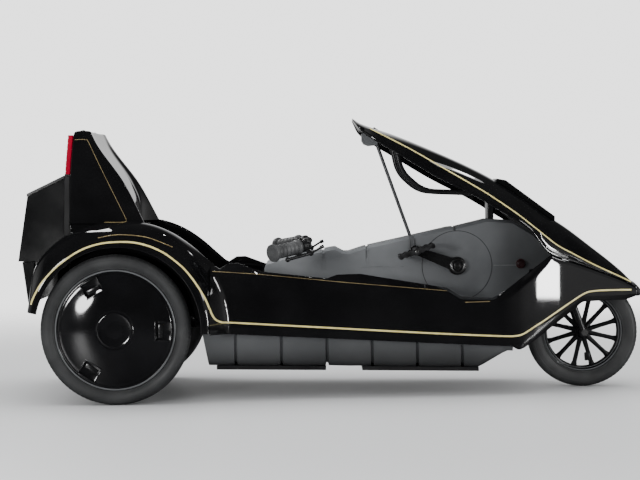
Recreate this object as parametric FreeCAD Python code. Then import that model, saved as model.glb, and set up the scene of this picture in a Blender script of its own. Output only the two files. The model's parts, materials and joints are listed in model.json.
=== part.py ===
"""Three-wheeled electric and pedal car for one rider, built as separate pieces.

Frame: +X is forward, +Y is the left side, +Z is up. The origin is on the floor, below the middle
of the car's length and width. All sizes are in millimetres.

The car is a low tub between two covered rear wheels and one spoked front wheel. A grey lower shell
and a grey centre tunnel carry a black upper body: two sills, two fenders, a seat tub with a tall
tower, a nose and a long pod that reaches back over the pedals. The rider steers with a bar under
the knees and pedals a crank in the tunnel; a battery and a motor sit at the rear axle.
"""
import FreeCAD
import Part
import math
import os

os.makedirs("parts", exist_ok=True)

V = FreeCAD.Vector
ORIGIN = V(0, 0, 0)
X_AXIS = V(1, 0, 0)
Y_AXIS = V(0, 1, 0)
Z_AXIS = V(0, 0, 1)

# ---------------------------------------------------------------- driving dimensions
SEAT_GAP = 0.3            # gap left between pieces of the body that rest against each other
RUN_GAP = 0.05            # radial gap of a turning hub on its shaft
LID_GAP = 1.0             # gap under the shut boot lid

# wheels and axles
REAR_AXLE_X = -600.0
REAR_TYRE_R = 203.2
REAR_TYRE_HALF = 23.5     # half of the tyre's width
REAR_TYRE_DEPTH = 40.2    # from the tread in to the rim
WHEEL_Y = 325.0           # a rear wheel's middle plane
FRONT_AXLE_X = 704.0
FRONT_TYRE_R = 158.75
FRONT_TYRE_HALF = 27.0
FRONT_TYRE_DEPTH = 45.75
RIM_DEPTH = 13.0          # radial thickness of both rims
TREAD_SHARE = 0.55        # a tyre's flat tread as a share of its width
SPOKES = 12
SPOKE_WIDTH = 9.0
SPOKE_PLATE = 9.0         # thickness of the plate that the spokes are cut from
REAR_HUB_R = 26.0
FRONT_HUB_R = 17.0
FRONT_HUB_HALF = 32.0
REAR_AXLE_R = 8.0
FRONT_AXLE_R = 5.0
FRONT_AXLE_HALF = 58.0
REAR_RIM_R = REAR_TYRE_R - REAR_TYRE_DEPTH
FRONT_RIM_R = FRONT_TYRE_R - FRONT_TYRE_DEPTH
WINDOW_TURNS = (118, 238, 358)    # directions of the cover's windows from +X, towards +Z
WINDOW_HALF = 24.5
WINDOW_INSET = 14.0       # from the rim in to a window
WINDOW_DEPTH = 40.0       # radial size of a window

# fender, in sections that fan out round a point just ahead of the rear axle
FENDER_AHEAD = 9.0        # from the axle forward to the middle of the wheel opening
FENDER_Y = 372.0          # outermost plane of the car
OPENING_GAP = 18.8        # from the tyre out to the wheel opening
FENDER_OPEN_R = REAR_TYRE_R + OPENING_GAP
FENDER_EDGE_R = FENDER_OPEN_R + 16    # where the outer face starts to round over
FENDER_ROUND = 9.0        # size of that rounding
FENDER_SHOULDER_Y = 330.0
FENDER_SKIN = 12.0
FENDER_LIP = 8.0

# body shell
SEAT_HALF = 240.0         # half width of the seat tub
SILL_DEPTH = 38.0         # how far a sill reaches inboard
TRAY_INSET = 36.0         # how far the grey lower shell lies inside the sill's face
TRAY_WALL = 9.0
TRAY_REAR_X = -372.0      # rear end at the open top
TRAY_REAR_LEAN = 18.0     # how much further forward the rear end's foot is
TRAY_FLAT_X = 391.0       # where the bottom starts to rise to the front
TRAY_FRONT_X = 486.0
TRAY_REAR_Z = 97.0
TRAY_FLAT_Z = 77.0
TRAY_FRONT_Z = 130.0
TRAY_CHAMFER = 14.0
GROOVE_PITCH = 125.0
GROOVE_FIRST_X = -281.0
GROOVE_COUNT = 6
TUNNEL_GROOVE_X = -38.5   # rearmost groove on the tunnel
TUNNEL_GROOVES = 4
GROOVE_WIDTH = 7.0
GROOVE_DEPTH = 4.0
SEAM_REAR_X = -368.0      # line where the black body meets the grey shell
SEAM_REAR_Z = 189.0
SEAM_FRONT_X = 477.0
SEAM_FRONT_Z = 136.0
SILL_END_X = 434.0
NOSE_WALL = 10.0
POD_WALL = 8.0

# tunnel and pedals
TUNNEL_HALF = 60.0
TUNNEL_EDGE = 8.0         # bevel of the tunnel's upper edges
TUNNEL_REAR_X = -206.0
CRANK_X = 342.0
CRANK_Z = 353.0
CASE_R = 99.0             # round chain case on the tunnel's side
CASE_RAISE = 3.0
CRANK_LENGTH = 128.0
CRANK_DEG = 159.0         # right arm's direction from +X, towards +Z
CRANK_SPINDLE_R = 9.0
CRANK_INNER_Y = 68.0      # inner face of a crank arm
CRANK_THICK = 16.0
CRANK_BOSS_R = 23.0
PEDAL_SPINDLE_R = 6.0
PEDAL_INNER_Y = 96.0
PEDAL_OUTER_Y = 178.0
PEDAL_LENGTH = 110.0
PEDAL_HEIGHT = 24.0
PEDAL_TILT_DEG = 19.0

# steering
HEAD_DEG = 70.0           # steering axis above the horizontal
CROWN_DIST = 180.0        # fork crown's distance from the axle, along the steering axis
HEAD_LOW = 194.0
HEAD_HIGH = 275.0
STEM_R = 12.5
HEAD_R = 20.0
BLADE_Y = 47.0
BLADE_R = 8.0
BAR_X = -104.0            # handlebar's pivot
BAR_Z = 418.0
BAR_BEND = 20.0           # radius of the bar's bends
BAR_FLAT_Y = 120.0        # half of the bar's straight middle run
BAR_R = 10.5
BAR_PIN_R = 8.0
BAR_HUB_R = 22.0
BAR_HUB_LOW = 18.0        # from the bar's middle down to the hub's foot
BAR_HUB_HIGH = 15.0
GRIP_R = 20.0
GRIP_FLANGE_R = 23.5
GRIP_INNER = V(-84, 210, 421)
GRIP_OUTER = V(-178, 298, 403)

# seat back: a straight line seen from the side
BACK_FOOT_X = -435.0
BACK_FOOT_Z = 225.0
BACK_SLOPE = 0.5643       # rearward run for each millimetre of height
SEAT_PAN_Z = 207.0
PAN_THICK = 11.0
SEAT_FRONT_X = -215.0
TUB_BEHIND = 135.0        # from the rear axle back to the tub's rear face
TUB_REAR_X = REAR_AXLE_X - TUB_BEHIND
TUB_TOP_Z = 488.0
TOWER_EDGE = 20.0         # bevel of the tower's upright edges
TUB_WALL = 12.0
BACK_THICK = 16.0
FRAME_PLATE = 12.0        # thickness of an axle plate
SEAL_THICK = 15.0
SEAL_TOP_Z = 619.0

# boot
BOOT_INSET = 4.0          # how much narrower than the seat tub a side of the box is
BOOT_HALF = SEAT_HALF - BOOT_INSET    # half width at the floor
BOOT_TAPER = 0.129        # how much narrower a side is for each millimetre of height
BOOT_WALL = 8.0
BOOT_FLOOR_Z = 386.0
BOOT_LENGTH = 125.0       # along the floor
BOOT_LEAN = 25.0          # how much further forward the top of the rear wall is
BOOT_TOP_REAR_Z = 573.0
BOOT_TOP_FRONT_Z = 620.5
BOOT_FRONT_X = TUB_REAR_X - SEAL_THICK - 2 * SEAT_GAP
BOOT_REAR_X = BOOT_FRONT_X - BOOT_LENGTH
LID_HINGE_X = BOOT_FRONT_X - 1.1
LID_HINGE_Z = 621.0
LENS_LOW_Z = 628.0
LENS_HIGH_Z = 733.0
LENS_THICK = 13.5
LID_THICK = 8.0
HINGE_R = 4.5
HINGE_PIN_R = 2.5
HINGE_Y = 110.0           # inner end of a lid barrel
HINGE_LENGTH = 40.0

# Half width of the black body in plan: x, half
PLAN = [
    (-560, 320), (-368, 305), (-221, 290), (63, 262), (342, 240), (434, 229), (499, 216),
    (536, 204), (593, 183), (660, 157), (717, 136), (813, 104), (848, 84), (872, 50),
]
# Sill: x, z of the outer top edge, z of the inner top edge, flare towards the fender
SILL = [
    (-345, 359, 374, 32), (-322, 354, 361, 19), (-300, 350, 376, 9), (-272, 347, 377, 2), (-212, 340, 354, 0),
    (-29, 320, 332, 0), (-2, 318, 342, 0), (63, 310, 343, 0), (301, 291, 301, 0), (342, 267, 276, 0),
    (434, 265, 270, 0),
]
# Fender: degrees ahead of the top, radius at the shoulder and where it meets the seat tub; both radii are
# measured from the wheel opening's
FENDER = [
    (-78, 32, 35), (-62, 34, 59), (-53, 35, 71), (-33, 36, 74), (-15, 36, 71), (4, 36, 70), (20, 36, 71),
    (35, 37, 71), (48, 39, 74), (60, 42, 86), (72, 45, 96), (84, 47, 104), (92.8, 48, 108),
]
# Seat tower: height above the seat tub, x of the rear and front faces from the tub's rear, half width, edge
TOWER = [
    (0, 0, 206, 240, 20), (108, 0, 151, 215, 20), (221, 0, 71, 190, 20), (246, 0, 58, 181, 16),
    (256, 11, 41, 168, 10),
]
# Hollow in the tower's front: height above the seat tub, x of its back from the tub's rear, how much narrower
# than the tub its half width is
HOLLOW = [(-1, 152, 30), (108, 118, 56), (216, 76, 84)]
# Pod: x, z of the crown, z of the shoulder line, z of the rim, half width
POD = [
    (49, 777, 773, 769, 60), (69, 763, 747, 737, 160), (101, 750, 738, 712, 184),
    (164, 729, 706, 674, 195), (281, 681, 635, 603, 206), (397, 627, 566, 542, 212),
    (469, 587, 521, 498, 213), (532, 546, 474, 456, 203), (593, 502, 425, 387, 183),
    (660, 457, 384, 364, 157), (717, 413, 354, 344, 136), (813, 335, 313, 307, 104),
    (848, 299, 291, 287, 84),
]
# Lower edge of the nose: x, z
NOSE_LOW = [(434, 139), (477, 136), (499, 126), (536, 144), (593, 184), (660, 230), (693, 252), (813, 253),
            (848, 262)]
# Tunnel's top line: x, z
TUNNEL_TOP = [
    (-206, 352), (-199, 370), (-128, 390), (-43, 403), (-20, 408), (-4, 410), (20, 397), (34, 397),
    (79, 411), (197, 436), (320, 463), (343, 465), (428, 485), (500, 480), (556, 446), (608, 398),
]
# Tunnel's front and underside ahead of the tray's flat floor, from the top down: x, z
TUNNEL_FRONT = [(612, 352), (548, 340), (527, 220), (486, 146)]


# ---------------------------------------------------------------- helpers
def along(table, x, column=1):
    """Value of a column at x, on straight lines between the table's rows."""
    if x <= table[0][0]:
        return float(table[0][column])
    for low, high in zip(table, table[1:]):
        if x <= high[0]:
            share = (x - low[0]) / (high[0] - low[0])
            return low[column] + share * (high[column] - low[column])
    return float(table[-1][column])


def seam_z(x):
    """Height of the seam between the grey lower shell and the black body."""
    share = (x - SEAM_REAR_X) / (SEAM_FRONT_X - SEAM_REAR_X)
    return SEAM_REAR_Z + share * (SEAM_FRONT_Z - SEAM_REAR_Z)


def back_x(z):
    """Front face of the seat back at height z."""
    return BACK_FOOT_X - BACK_SLOPE * (z - BACK_FOOT_Z)


def steer_point(distance, y=0.0):
    """Point on the steering axis at a distance from the front axle, moved sideways by y."""
    lean = math.radians(HEAD_DEG)
    return V(FRONT_AXLE_X - distance * math.cos(lean), y, FRONT_TYRE_R + distance * math.sin(lean))


def crank_end(side):
    """Pedal spindle's x and z; side is -1 on the right and 1 on the left."""
    angle = math.radians(CRANK_DEG if side < 0 else CRANK_DEG + 180)
    return CRANK_X + CRANK_LENGTH * math.cos(angle), CRANK_Z + CRANK_LENGTH * math.sin(angle)


def tray_low(x):
    """Underside of the lower shell at x."""
    return along([(TRAY_REAR_X, TRAY_REAR_Z), (TRAY_FLAT_X, TRAY_FLAT_Z), (TRAY_FRONT_X, TRAY_FRONT_Z)], x)


def box(x0, x1, y0, y1, z0, z1):
    """Box between two corners."""
    return Part.makeBox(x1 - x0, y1 - y0, z1 - z0, V(x0, y0, z0))


def wire(points):
    """Closed wire through points."""
    return Part.makePolygon(points + [points[0]])


def prism(outline, y0, y1):
    """Solid between two Y planes from an outline of (x, z) points."""
    face = Part.Face(wire([V(x, y0, z) for x, z in outline]))
    return face.extrude(V(0, y1 - y0, 0))


def loft(wires):
    """Solid with straight lines between neighbouring wires."""
    return Part.makeLoft(wires, True, True)


def cylinder(radius, start, end):
    """Round bar from start to end."""
    axis = end.sub(start)
    return Part.makeCylinder(radius, axis.Length, start, axis)


def ring(profile, x, z):
    """Full turn of a profile of (y, radius) points about the Y line through x, z."""
    face = Part.Face(wire([V(0, y, r) for y, r in profile]))
    solid = face.revolve(ORIGIN, Y_AXIS, 360)
    solid.translate(V(x, 0, z))
    return solid


def other_side(shape):
    """The same piece on the car's other side."""
    return shape.mirror(ORIGIN, Y_AXIS)


def tube(points, radius, bend):
    """Round bar along straight runs joined by arcs; bend is the arcs' radius."""
    edges = []
    start = points[0]
    for before, corner, after in zip(points, points[1:], points[2:]):
        into = before.sub(corner).normalize()
        out = after.sub(corner).normalize()
        half = into.getAngle(out) / 2
        cut = bend / math.tan(half)
        first = corner.add(into * cut)
        last = corner.add(out * cut)
        middle = (into.add(out)).normalize()
        centre = corner.add(middle * (bend / math.sin(half)))
        top = centre.sub(middle * bend)
        edges.append(Part.makeLine(start, first))
        edges.append(Part.Arc(first, top, last).toShape())
        start = last
    edges.append(Part.makeLine(start, points[-1]))
    path = Part.Wire(edges)
    heading = points[1].sub(points[0])
    section = Part.Wire(Part.makeCircle(radius, points[0], heading))
    return path.makePipeShell([section], True, False)


def save(name, shape):
    """Writes one piece, after the usual clean-up of its faces."""
    shape = shape.removeSplitter()
    solids = shape.Solids
    if not solids or not shape.isValid():
        raise ValueError("piece %s is not a valid solid" % name)
    result = solids[0] if len(solids) == 1 else Part.makeCompound(solids)
    result.exportStep("parts/%s.step" % name)
    print("%-20s %8.1f cm3 %d solid(s)" % (name, result.Volume / 1000, len(solids)))


# ---------------------------------------------------------------- lower shell and tunnel
def tray_section(x, low, inset, top, lean=0.0):
    """Wire across the lower shell at x; inset is measured inward and lean moves its foot forward."""
    half = along(PLAN, x) - TRAY_INSET - inset
    z = low + inset
    c = TRAY_CHAMFER
    right_up = [(half, top), (half, z + c), (half - c, z)]
    around = right_up + [(-y, height) for y, height in reversed(right_up)]
    return wire([V(x + lean * (top - height) / (top - z), y, height) for y, height in around])


def tray_form(inset, lift=0.0):
    """Outer form of the lower shell, shrunk by inset; lift raises its open top past the rim."""
    rows = []
    for x in (TRAY_REAR_X + inset, -220.0, TRAY_FLAT_X, TRAY_FRONT_X):
        top = seam_z(x) - SEAT_GAP + lift
        low = min(tray_low(x), top - TRAY_CHAMFER - inset - 1)
        rows.append(tray_section(x, low, inset, top, 0.0 if rows else TRAY_REAR_LEAN))
    return loft(rows)


def lower_shell():
    """Grey lower tray with grooves across its sides and bottom."""
    outer = tray_form(0.0)
    shell = outer.cut(tray_form(TRAY_WALL, TRAY_WALL))
    skin = outer.cut(tray_form(GROOVE_DEPTH, TRAY_WALL))
    half = along(PLAN, TRAY_REAR_X)
    for i in range(GROOVE_COUNT):
        x = GROOVE_FIRST_X + i * GROOVE_PITCH
        slab = box(x - GROOVE_WIDTH / 2, x + GROOVE_WIDTH / 2, -half, half, 0, SEAM_REAR_Z)
        shell = shell.cut(skin.common(slab))
    return shell


def tunnel_form(half, lower):
    """Tunnel's solid; half is its half width and lower drops its top line."""
    floor = [(x, tray_low(x) + TRAY_WALL + SEAT_GAP) for x in (TRAY_FLAT_X, TUNNEL_REAR_X)]
    top = [(x, z - lower) for x, z in TUNNEL_TOP]
    bevelled = [(x, z - TUNNEL_EDGE - lower) for x, z in TUNNEL_TOP]
    rest = TUNNEL_FRONT + floor
    rows = []
    for y, line in ((-half, bevelled), (TUNNEL_EDGE - half, top), (half - TUNNEL_EDGE, top), (half, bevelled)):
        rows.append(wire([V(x, y, z) for x, z in line + rest]))
    return loft(rows)


def tunnel():
    """Grey centre tunnel with cross grooves and a round chain case on each side."""
    body = tunnel_form(TUNNEL_HALF, 0.0)
    skin = body.cut(tunnel_form(TUNNEL_HALF - GROOVE_DEPTH, GROOVE_DEPTH))
    for i in range(TUNNEL_GROOVES):
        x = TUNNEL_GROOVE_X + i * GROOVE_PITCH
        z = CRANK_Z + 25 if i < TUNNEL_GROOVES - 1 else CRANK_Z + CASE_R
        slab = box(x - GROOVE_WIDTH / 2, x + GROOVE_WIDTH / 2, -TUNNEL_HALF, TUNNEL_HALF, z, z + 200)
        body = body.cut(skin.common(slab))
    half = TUNNEL_HALF + CASE_RAISE
    for side in (-1, 1):
        start = V(CRANK_X, side * (TUNNEL_HALF - 1), CRANK_Z)
        body = body.fuse(Part.makeCone(CASE_R, CASE_R * 0.6, CASE_RAISE + 1, start, V(0, side, 0)))
    body = body.cut(cylinder(HEAD_R + SEAT_GAP, steer_point(0), steer_point(HEAD_HIGH + 50)))
    return body.cut(cylinder(CRANK_SPINDLE_R + RUN_GAP, V(CRANK_X, -half, CRANK_Z), V(CRANK_X, half, CRANK_Z)))


def belly_plates():
    """Two steel chassis plates under the lower shell."""
    plates = []
    thick = 12.0
    edge = 16.0
    for x0, x1 in ((TRAY_REAR_X + TRAY_REAR_LEAN + 20, -34.0), (66.0, TRAY_FLAT_X)):
        rows = []
        for x in (x0, x1):
            half = along(PLAN, x) - TRAY_INSET - edge
            z = tray_low(x)
            rows.append(wire([V(x, half, z), V(x, half, z - thick), V(x, -half, z - thick), V(x, -half, z)]))
        plates.append(loft(rows))
    return Part.makeCompound(plates)


# ---------------------------------------------------------------- black body
def fan(radial, degrees):
    """Places (y, radius) points in the plane that leans ahead of the wheel opening's top by degrees."""
    angle = math.radians(degrees)
    middle = REAR_AXLE_X + FENDER_AHEAD
    return [V(middle + r * math.sin(angle), y, REAR_TYRE_R + r * math.cos(angle)) for y, r in radial]


def fender_face(shoulder, top, inner):
    """Outer (y, radius) points of a left fender's section, from the opening's edge inward."""
    return [(FENDER_Y, FENDER_EDGE_R), (FENDER_Y - FENDER_ROUND * 0.3, FENDER_EDGE_R + FENDER_ROUND * 0.7),
            (FENDER_Y - FENDER_ROUND, FENDER_EDGE_R + FENDER_ROUND),
            (FENDER_SHOULDER_Y, FENDER_OPEN_R + shoulder), (inner, FENDER_OPEN_R + top)]


def wheel_well(gap):
    """Space that a left fender takes up with its wheel, widened by gap."""
    inner = SEAT_HALF - 30
    rows = []
    for degrees, shoulder, top in FENDER:
        face = [(y + gap, r + gap) for y, r in fender_face(shoulder, top, SEAT_HALF)]
        around = [(inner, face[-1][1]), (inner, 150), (FENDER_Y + 1, 150), (FENDER_Y + 1, face[0][1])]
        rows.append(wire(fan(face + around, degrees)))
    return loft(rows)


def sill():
    """Left sill and the bolster that runs up to the tower, cut round by the fender."""
    rows = []
    for x, edge, inner, flare in SILL:
        outer_y = along(PLAN, x) + flare
        inner_y = SEAT_HALF + SEAT_GAP if x < SEAT_FRONT_X + 5 else along(PLAN, x) - SILL_DEPTH
        low = seam_z(x)
        rows.append(wire([V(x, outer_y - 4, low), V(x, outer_y, low + 14), V(x, outer_y - 2, edge - 8),
                          V(x, outer_y - 8, edge), V(x, inner_y + 6, inner), V(x, inner_y, inner - 6),
                          V(x, inner_y, low)]))
    return loft(rows).cut(wheel_well(SEAT_GAP))


def fender():
    """Left rear fender: a hood over the wheel that flares out of the sill."""
    inner = SEAT_HALF + SEAT_GAP
    rows = []
    for degrees, shoulder, top in FENDER:
        face = fender_face(shoulder, top, inner)
        back = [(y, r - FENDER_SKIN) for y, r in reversed(face[-2:])]
        back += [(FENDER_Y - FENDER_LIP, FENDER_EDGE_R), (FENDER_Y - FENDER_LIP, FENDER_OPEN_R)]
        rows.append(wire(fan([(FENDER_Y, FENDER_OPEN_R)] + face + back, degrees)))
    return loft(rows)


def seat_tub():
    """Seat pan, lower seat back and side walls, open below the back for the axle and battery."""
    outer = prism([
        (TUB_REAR_X, 262), (TUB_REAR_X, TUB_TOP_Z), (TUB_REAR_X + TOWER[0][2], TUB_TOP_Z), (-498, 474), (-460, 463),
        (-431, 444), (-398, 418), (-343, 373), (-322, 359), (SEAT_FRONT_X, 350),
        (SEAT_FRONT_X, SEAT_PAN_Z - PAN_THICK),
        (-361, SEAT_PAN_Z - PAN_THICK), (-400, 228),
    ], -SEAT_HALF, SEAT_HALF)
    inside = SEAT_HALF - TUB_WALL
    room = prism([
        (back_x(TUB_TOP_Z + 5), TUB_TOP_Z + 5), (back_x(BACK_FOOT_Z), BACK_FOOT_Z),
        (BACK_FOOT_X + 22, SEAT_PAN_Z), (SEAT_FRONT_X + 1, SEAT_PAN_Z), (SEAT_FRONT_X + 1, TUB_TOP_Z + 5),
    ], -inside, inside)
    top = TUB_TOP_Z - TUB_WALL
    foot = BACK_FOOT_Z - 3
    below = prism([
        (TUB_REAR_X + TUB_WALL, 180), (TUB_REAR_X + TUB_WALL, top), (back_x(top) - BACK_THICK, top),
        (back_x(foot) - BACK_THICK, foot), (back_x(foot) - BACK_THICK, 180),
    ], -inside, inside)
    return outer.cut(room).cut(below)


def seat_tower():
    """Tall back of the seat: leaning sides, a headrest and a hollow for the rider's back."""
    low = TUB_TOP_Z + SEAT_GAP
    rows = []
    for height, rear_step, front_step, half, edge in TOWER:
        z = low + height
        rear = TUB_REAR_X + rear_step
        front = TUB_REAR_X + front_step
        side = half * SEAT_HALF / TOWER[0][3]
        rows.append(wire([V(rear, side, z), V(rear, -side, z), V(front - edge, -side, z), V(front, edge - side, z),
                          V(front, side - edge, z), V(front - edge, side, z)]))
    hollow = []
    for height, rear_step, narrower in HOLLOW:
        z = low + height
        half = SEAT_HALF - narrower
        rear = TUB_REAR_X + rear_step
        front = TUB_REAR_X + TOWER[0][2] + 20
        hollow.append(wire([V(rear, half, z), V(rear, -half, z), V(front, -half, z), V(front, half, z)]))
    return loft(rows).cut(loft(hollow))


def nose_row(x, top, low, wall):
    """Wire of the left nose wall at x."""
    half = along(PLAN, x)
    return wire([V(x, half - 3, low), V(x, half, (top + low) / 2), V(x, half, top), V(x, half - wall, top),
                 V(x, half - wall, low)])


def nose_shell():
    """Both nose walls and the blunt tip that joins them."""
    rim = [(x, z - SEAT_GAP) for x, _, _, z, _ in POD if x >= 593]
    rear_edge = [(SILL_END_X, 274), (499, 320), (536, 346)]
    rows = []
    for x, top in rear_edge + rim:
        rows.append(nose_row(x, top, along(NOSE_LOW, x), NOSE_WALL))
    wall = loft(rows)
    x, top = rim[-1]
    half = along(PLAN, x)
    low = along(NOSE_LOW, x)
    tip_half = PLAN[-1][1]
    tip_x = PLAN[-1][0]
    tip = loft([
        wire([V(x, -half, low), V(x, half, low), V(x, half, top), V(x, -half, top)]),
        wire([V(tip_x, -tip_half, low), V(tip_x, tip_half, low), V(tip_x, tip_half, 272), V(tip_x, -tip_half, 272)]),
    ])
    return wall.fuse(other_side(wall)).fuse(tip)


def pod_row(row, wall):
    """Arched wire of the pod; wall of zero gives the closed outer form."""
    x, crown, shoulder, rim, half = row
    arch = Part.Arc(V(x, half, shoulder), V(x, 0, crown), V(x, -half, shoulder)).toShape()
    if not wall:
        down = [V(x, -half, shoulder), V(x, -half, rim), V(x, half, rim), V(x, half, shoulder)]
        return Part.Wire([arch] + Part.makePolygon(down).Edges)
    inner_half = half - wall
    drop = min(wall, (crown - rim) * 0.6)
    inner = Part.Arc(V(x, -inner_half, shoulder - drop), V(x, 0, crown - drop),
                     V(x, inner_half, shoulder - drop)).toShape()
    left = [V(x, -half, shoulder), V(x, -half, rim), V(x, -inner_half, rim), V(x, -inner_half, shoulder - drop)]
    right = [V(x, inner_half, shoulder - drop), V(x, inner_half, rim), V(x, half, rim), V(x, half, shoulder)]
    return Part.Wire([arch] + Part.makePolygon(left).Edges + [inner] + Part.makePolygon(right).Edges)


def pod_thickness(row):
    """Skin of the pod at a row: thin at the rear lip, where the section is shallow."""
    return min(POD_WALL, (row[2] - row[3]) * 0.7)


def nose_pod():
    """Long arched pod over the pedals, ending in a thin lip at the rear."""
    return loft([pod_row(row, pod_thickness(row)) for row in POD])


def pod_block():
    """The pod with its hollow filled, for trimming what seats on it."""
    return loft([pod_row(row, 0) for row in POD])


# ---------------------------------------------------------------- wheels
def tyre(half, inner_r, outer_r, upright):
    """Section of a tyre: (y, radius) points; upright is how much of each side stands straight up."""
    side = [(half, inner_r), (half, inner_r + upright), (TREAD_SHARE * half, outer_r)]
    if not upright:
        side.pop(1)
    return side + [(-y, r) for y, r in reversed(side)]


def rear_tyre():
    """Left rear tyre."""
    profile = [(y + WHEEL_Y, r) for y, r in tyre(REAR_TYRE_HALF, REAR_RIM_R + SEAT_GAP, REAR_TYRE_R, 0.0)]
    return ring(profile, REAR_AXLE_X, REAR_TYRE_R)


def rear_wheel():
    """Left rear wheel: rim, domed cover with three blind windows and a capped hub."""
    bore = REAR_AXLE_R + RUN_GAP
    low = REAR_RIM_R - RIM_DEPTH
    half = REAR_TYRE_HALF * 0.7
    face = WHEEL_Y + half
    body = ring([
        (WHEEL_Y - 30, bore), (WHEEL_Y - 30, REAR_HUB_R), (face - 6, REAR_HUB_R), (face - 2, 49), (face - 3, low - 4),
        (WHEEL_Y - half, low), (WHEEL_Y - half, REAR_RIM_R), (face, REAR_RIM_R), (face + 5, REAR_RIM_R - 9),
        (face + 9, 49), (face + 13, 42), (face + 14, 0), (face + 8, 0), (face + 8, bore),
    ], REAR_AXLE_X, REAR_TYRE_R)
    outer = REAR_RIM_R - WINDOW_INSET
    inner = outer - WINDOW_DEPTH
    for turn in WINDOW_TURNS:
        cup = box(inner - 3, outer + 2, face - 18, face + 2, -WINDOW_HALF - 3, WINDOW_HALF + 3)
        window = box(inner, outer, face - 15, face + 12, -WINDOW_HALF, WINDOW_HALF)
        for shape in (cup, window):
            shape.rotate(ORIGIN, Y_AXIS, -turn)
            shape.translate(V(REAR_AXLE_X, 0, REAR_TYRE_R))
        body = body.fuse(cup).cut(window)
    return body


def front_tyre():
    """Front tyre."""
    profile = tyre(FRONT_TYRE_HALF, FRONT_RIM_R + SEAT_GAP, FRONT_TYRE_R, FRONT_TYRE_DEPTH * 0.45)
    return ring(profile, FRONT_AXLE_X, FRONT_TYRE_R)


def front_wheel():
    """Cast front wheel: rim, flat spokes and a hub that turns on the axle."""
    half = FRONT_TYRE_HALF * 0.7
    low = FRONT_RIM_R - RIM_DEPTH
    body = ring([(-half, low), (-half, FRONT_RIM_R), (half, FRONT_RIM_R), (half, low)], 0, 0)
    body = body.fuse(cylinder(FRONT_HUB_R, V(0, -FRONT_HUB_HALF, 0), V(0, FRONT_HUB_HALF, 0)))
    for i in range(SPOKES):
        spoke = box(FRONT_HUB_R - 5, low + 4, -SPOKE_PLATE / 2, SPOKE_PLATE / 2, -SPOKE_WIDTH / 2, SPOKE_WIDTH / 2)
        spoke.rotate(ORIGIN, Y_AXIS, 8 - i * 360 / SPOKES)
        body = body.fuse(spoke)
    body = body.cut(cylinder(FRONT_AXLE_R + RUN_GAP, V(0, -60, 0), V(0, 60, 0)))
    body.translate(V(FRONT_AXLE_X, 0, FRONT_TYRE_R))
    return body


# ---------------------------------------------------------------- steering
def fork():
    """Two fork blades, their crown and the stem that turns in the head tube."""
    body = cylinder(STEM_R, steer_point(CROWN_DIST), steer_point(HEAD_HIGH + 8))
    crown = box(-8, 8, -BLADE_Y - 10, BLADE_Y + 10, -13, 13)
    crown.rotate(ORIGIN, Y_AXIS, HEAD_DEG)
    crown.translate(steer_point(CROWN_DIST))
    body = body.fuse(crown)
    for y in (-BLADE_Y, BLADE_Y):
        body = body.fuse(cylinder(BLADE_R, steer_point(0, y), steer_point(CROWN_DIST, y)))
        end = V(FRONT_AXLE_X, y - BLADE_R + 1, FRONT_TYRE_R)
        body = body.fuse(cylinder(13, end, end.add(V(0, 2 * BLADE_R - 2, 0))))
    axle = V(FRONT_AXLE_X, -70, FRONT_TYRE_R)
    return body.cut(cylinder(FRONT_AXLE_R + SEAT_GAP, axle, axle.add(V(0, 140, 0))))


def front_axle():
    """Front axle with a nut at each end."""
    start = V(FRONT_AXLE_X, -FRONT_AXLE_HALF - 8, FRONT_TYRE_R)
    end = V(FRONT_AXLE_X, FRONT_AXLE_HALF + 8, FRONT_TYRE_R)
    body = cylinder(FRONT_AXLE_R, start, end)
    for y in (-FRONT_AXLE_HALF - 6, BLADE_Y + BLADE_R + SEAT_GAP):
        nut = Part.Face(wire([V(FRONT_AXLE_X + 10 * math.cos(a), y, FRONT_TYRE_R + 10 * math.sin(a))
                              for a in [math.radians(60 * i) for i in range(6)]]))
        body = body.fuse(nut.extrude(V(0, 8.7, 0)))
    return body


def head_tube():
    """Tube in the tunnel's front end that carries the fork's stem."""
    tube_body = cylinder(HEAD_R, steer_point(HEAD_LOW), steer_point(HEAD_HIGH))
    return tube_body.cut(cylinder(STEM_R + RUN_GAP, steer_point(HEAD_LOW - 5), steer_point(HEAD_HIGH + 5)))


def bar_post():
    """Collar and pin on the tunnel that the handlebar turns on."""
    low = along(TUNNEL_TOP, BAR_X) - 6
    post = cylinder(BAR_HUB_R + 4, V(BAR_X, 0, low), V(BAR_X, 0, BAR_Z - BAR_HUB_LOW - SEAT_GAP))
    post = post.fuse(cylinder(BAR_PIN_R, V(BAR_X, 0, low), V(BAR_X, 0, BAR_Z + BAR_HUB_HIGH + 4)))
    return post.cut(tunnel_form(TUNNEL_HALF, 0.0))


def grip_line():
    """Unit vector along the left grip, from its outer end inward."""
    return GRIP_INNER.sub(GRIP_OUTER).normalize()


def handlebar():
    """Bent bar with a hub at its middle."""
    run = grip_line()
    start = GRIP_OUTER.add(run * 12)
    left = [start, GRIP_INNER.add(run * 9), V(BAR_X, BAR_FLAT_Y, BAR_Z)]
    bar = tube(left + [V(p.x, -p.y, p.z) for p in reversed(left)], BAR_R, BAR_BEND)
    hub = cylinder(BAR_HUB_R, V(BAR_X, 0, BAR_Z - BAR_HUB_LOW), V(BAR_X, 0, BAR_Z + BAR_HUB_HIGH))
    return bar.fuse(hub).cut(cylinder(BAR_PIN_R + RUN_GAP, V(BAR_X, 0, BAR_Z - 50), V(BAR_X, 0, BAR_Z + 50)))


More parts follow.
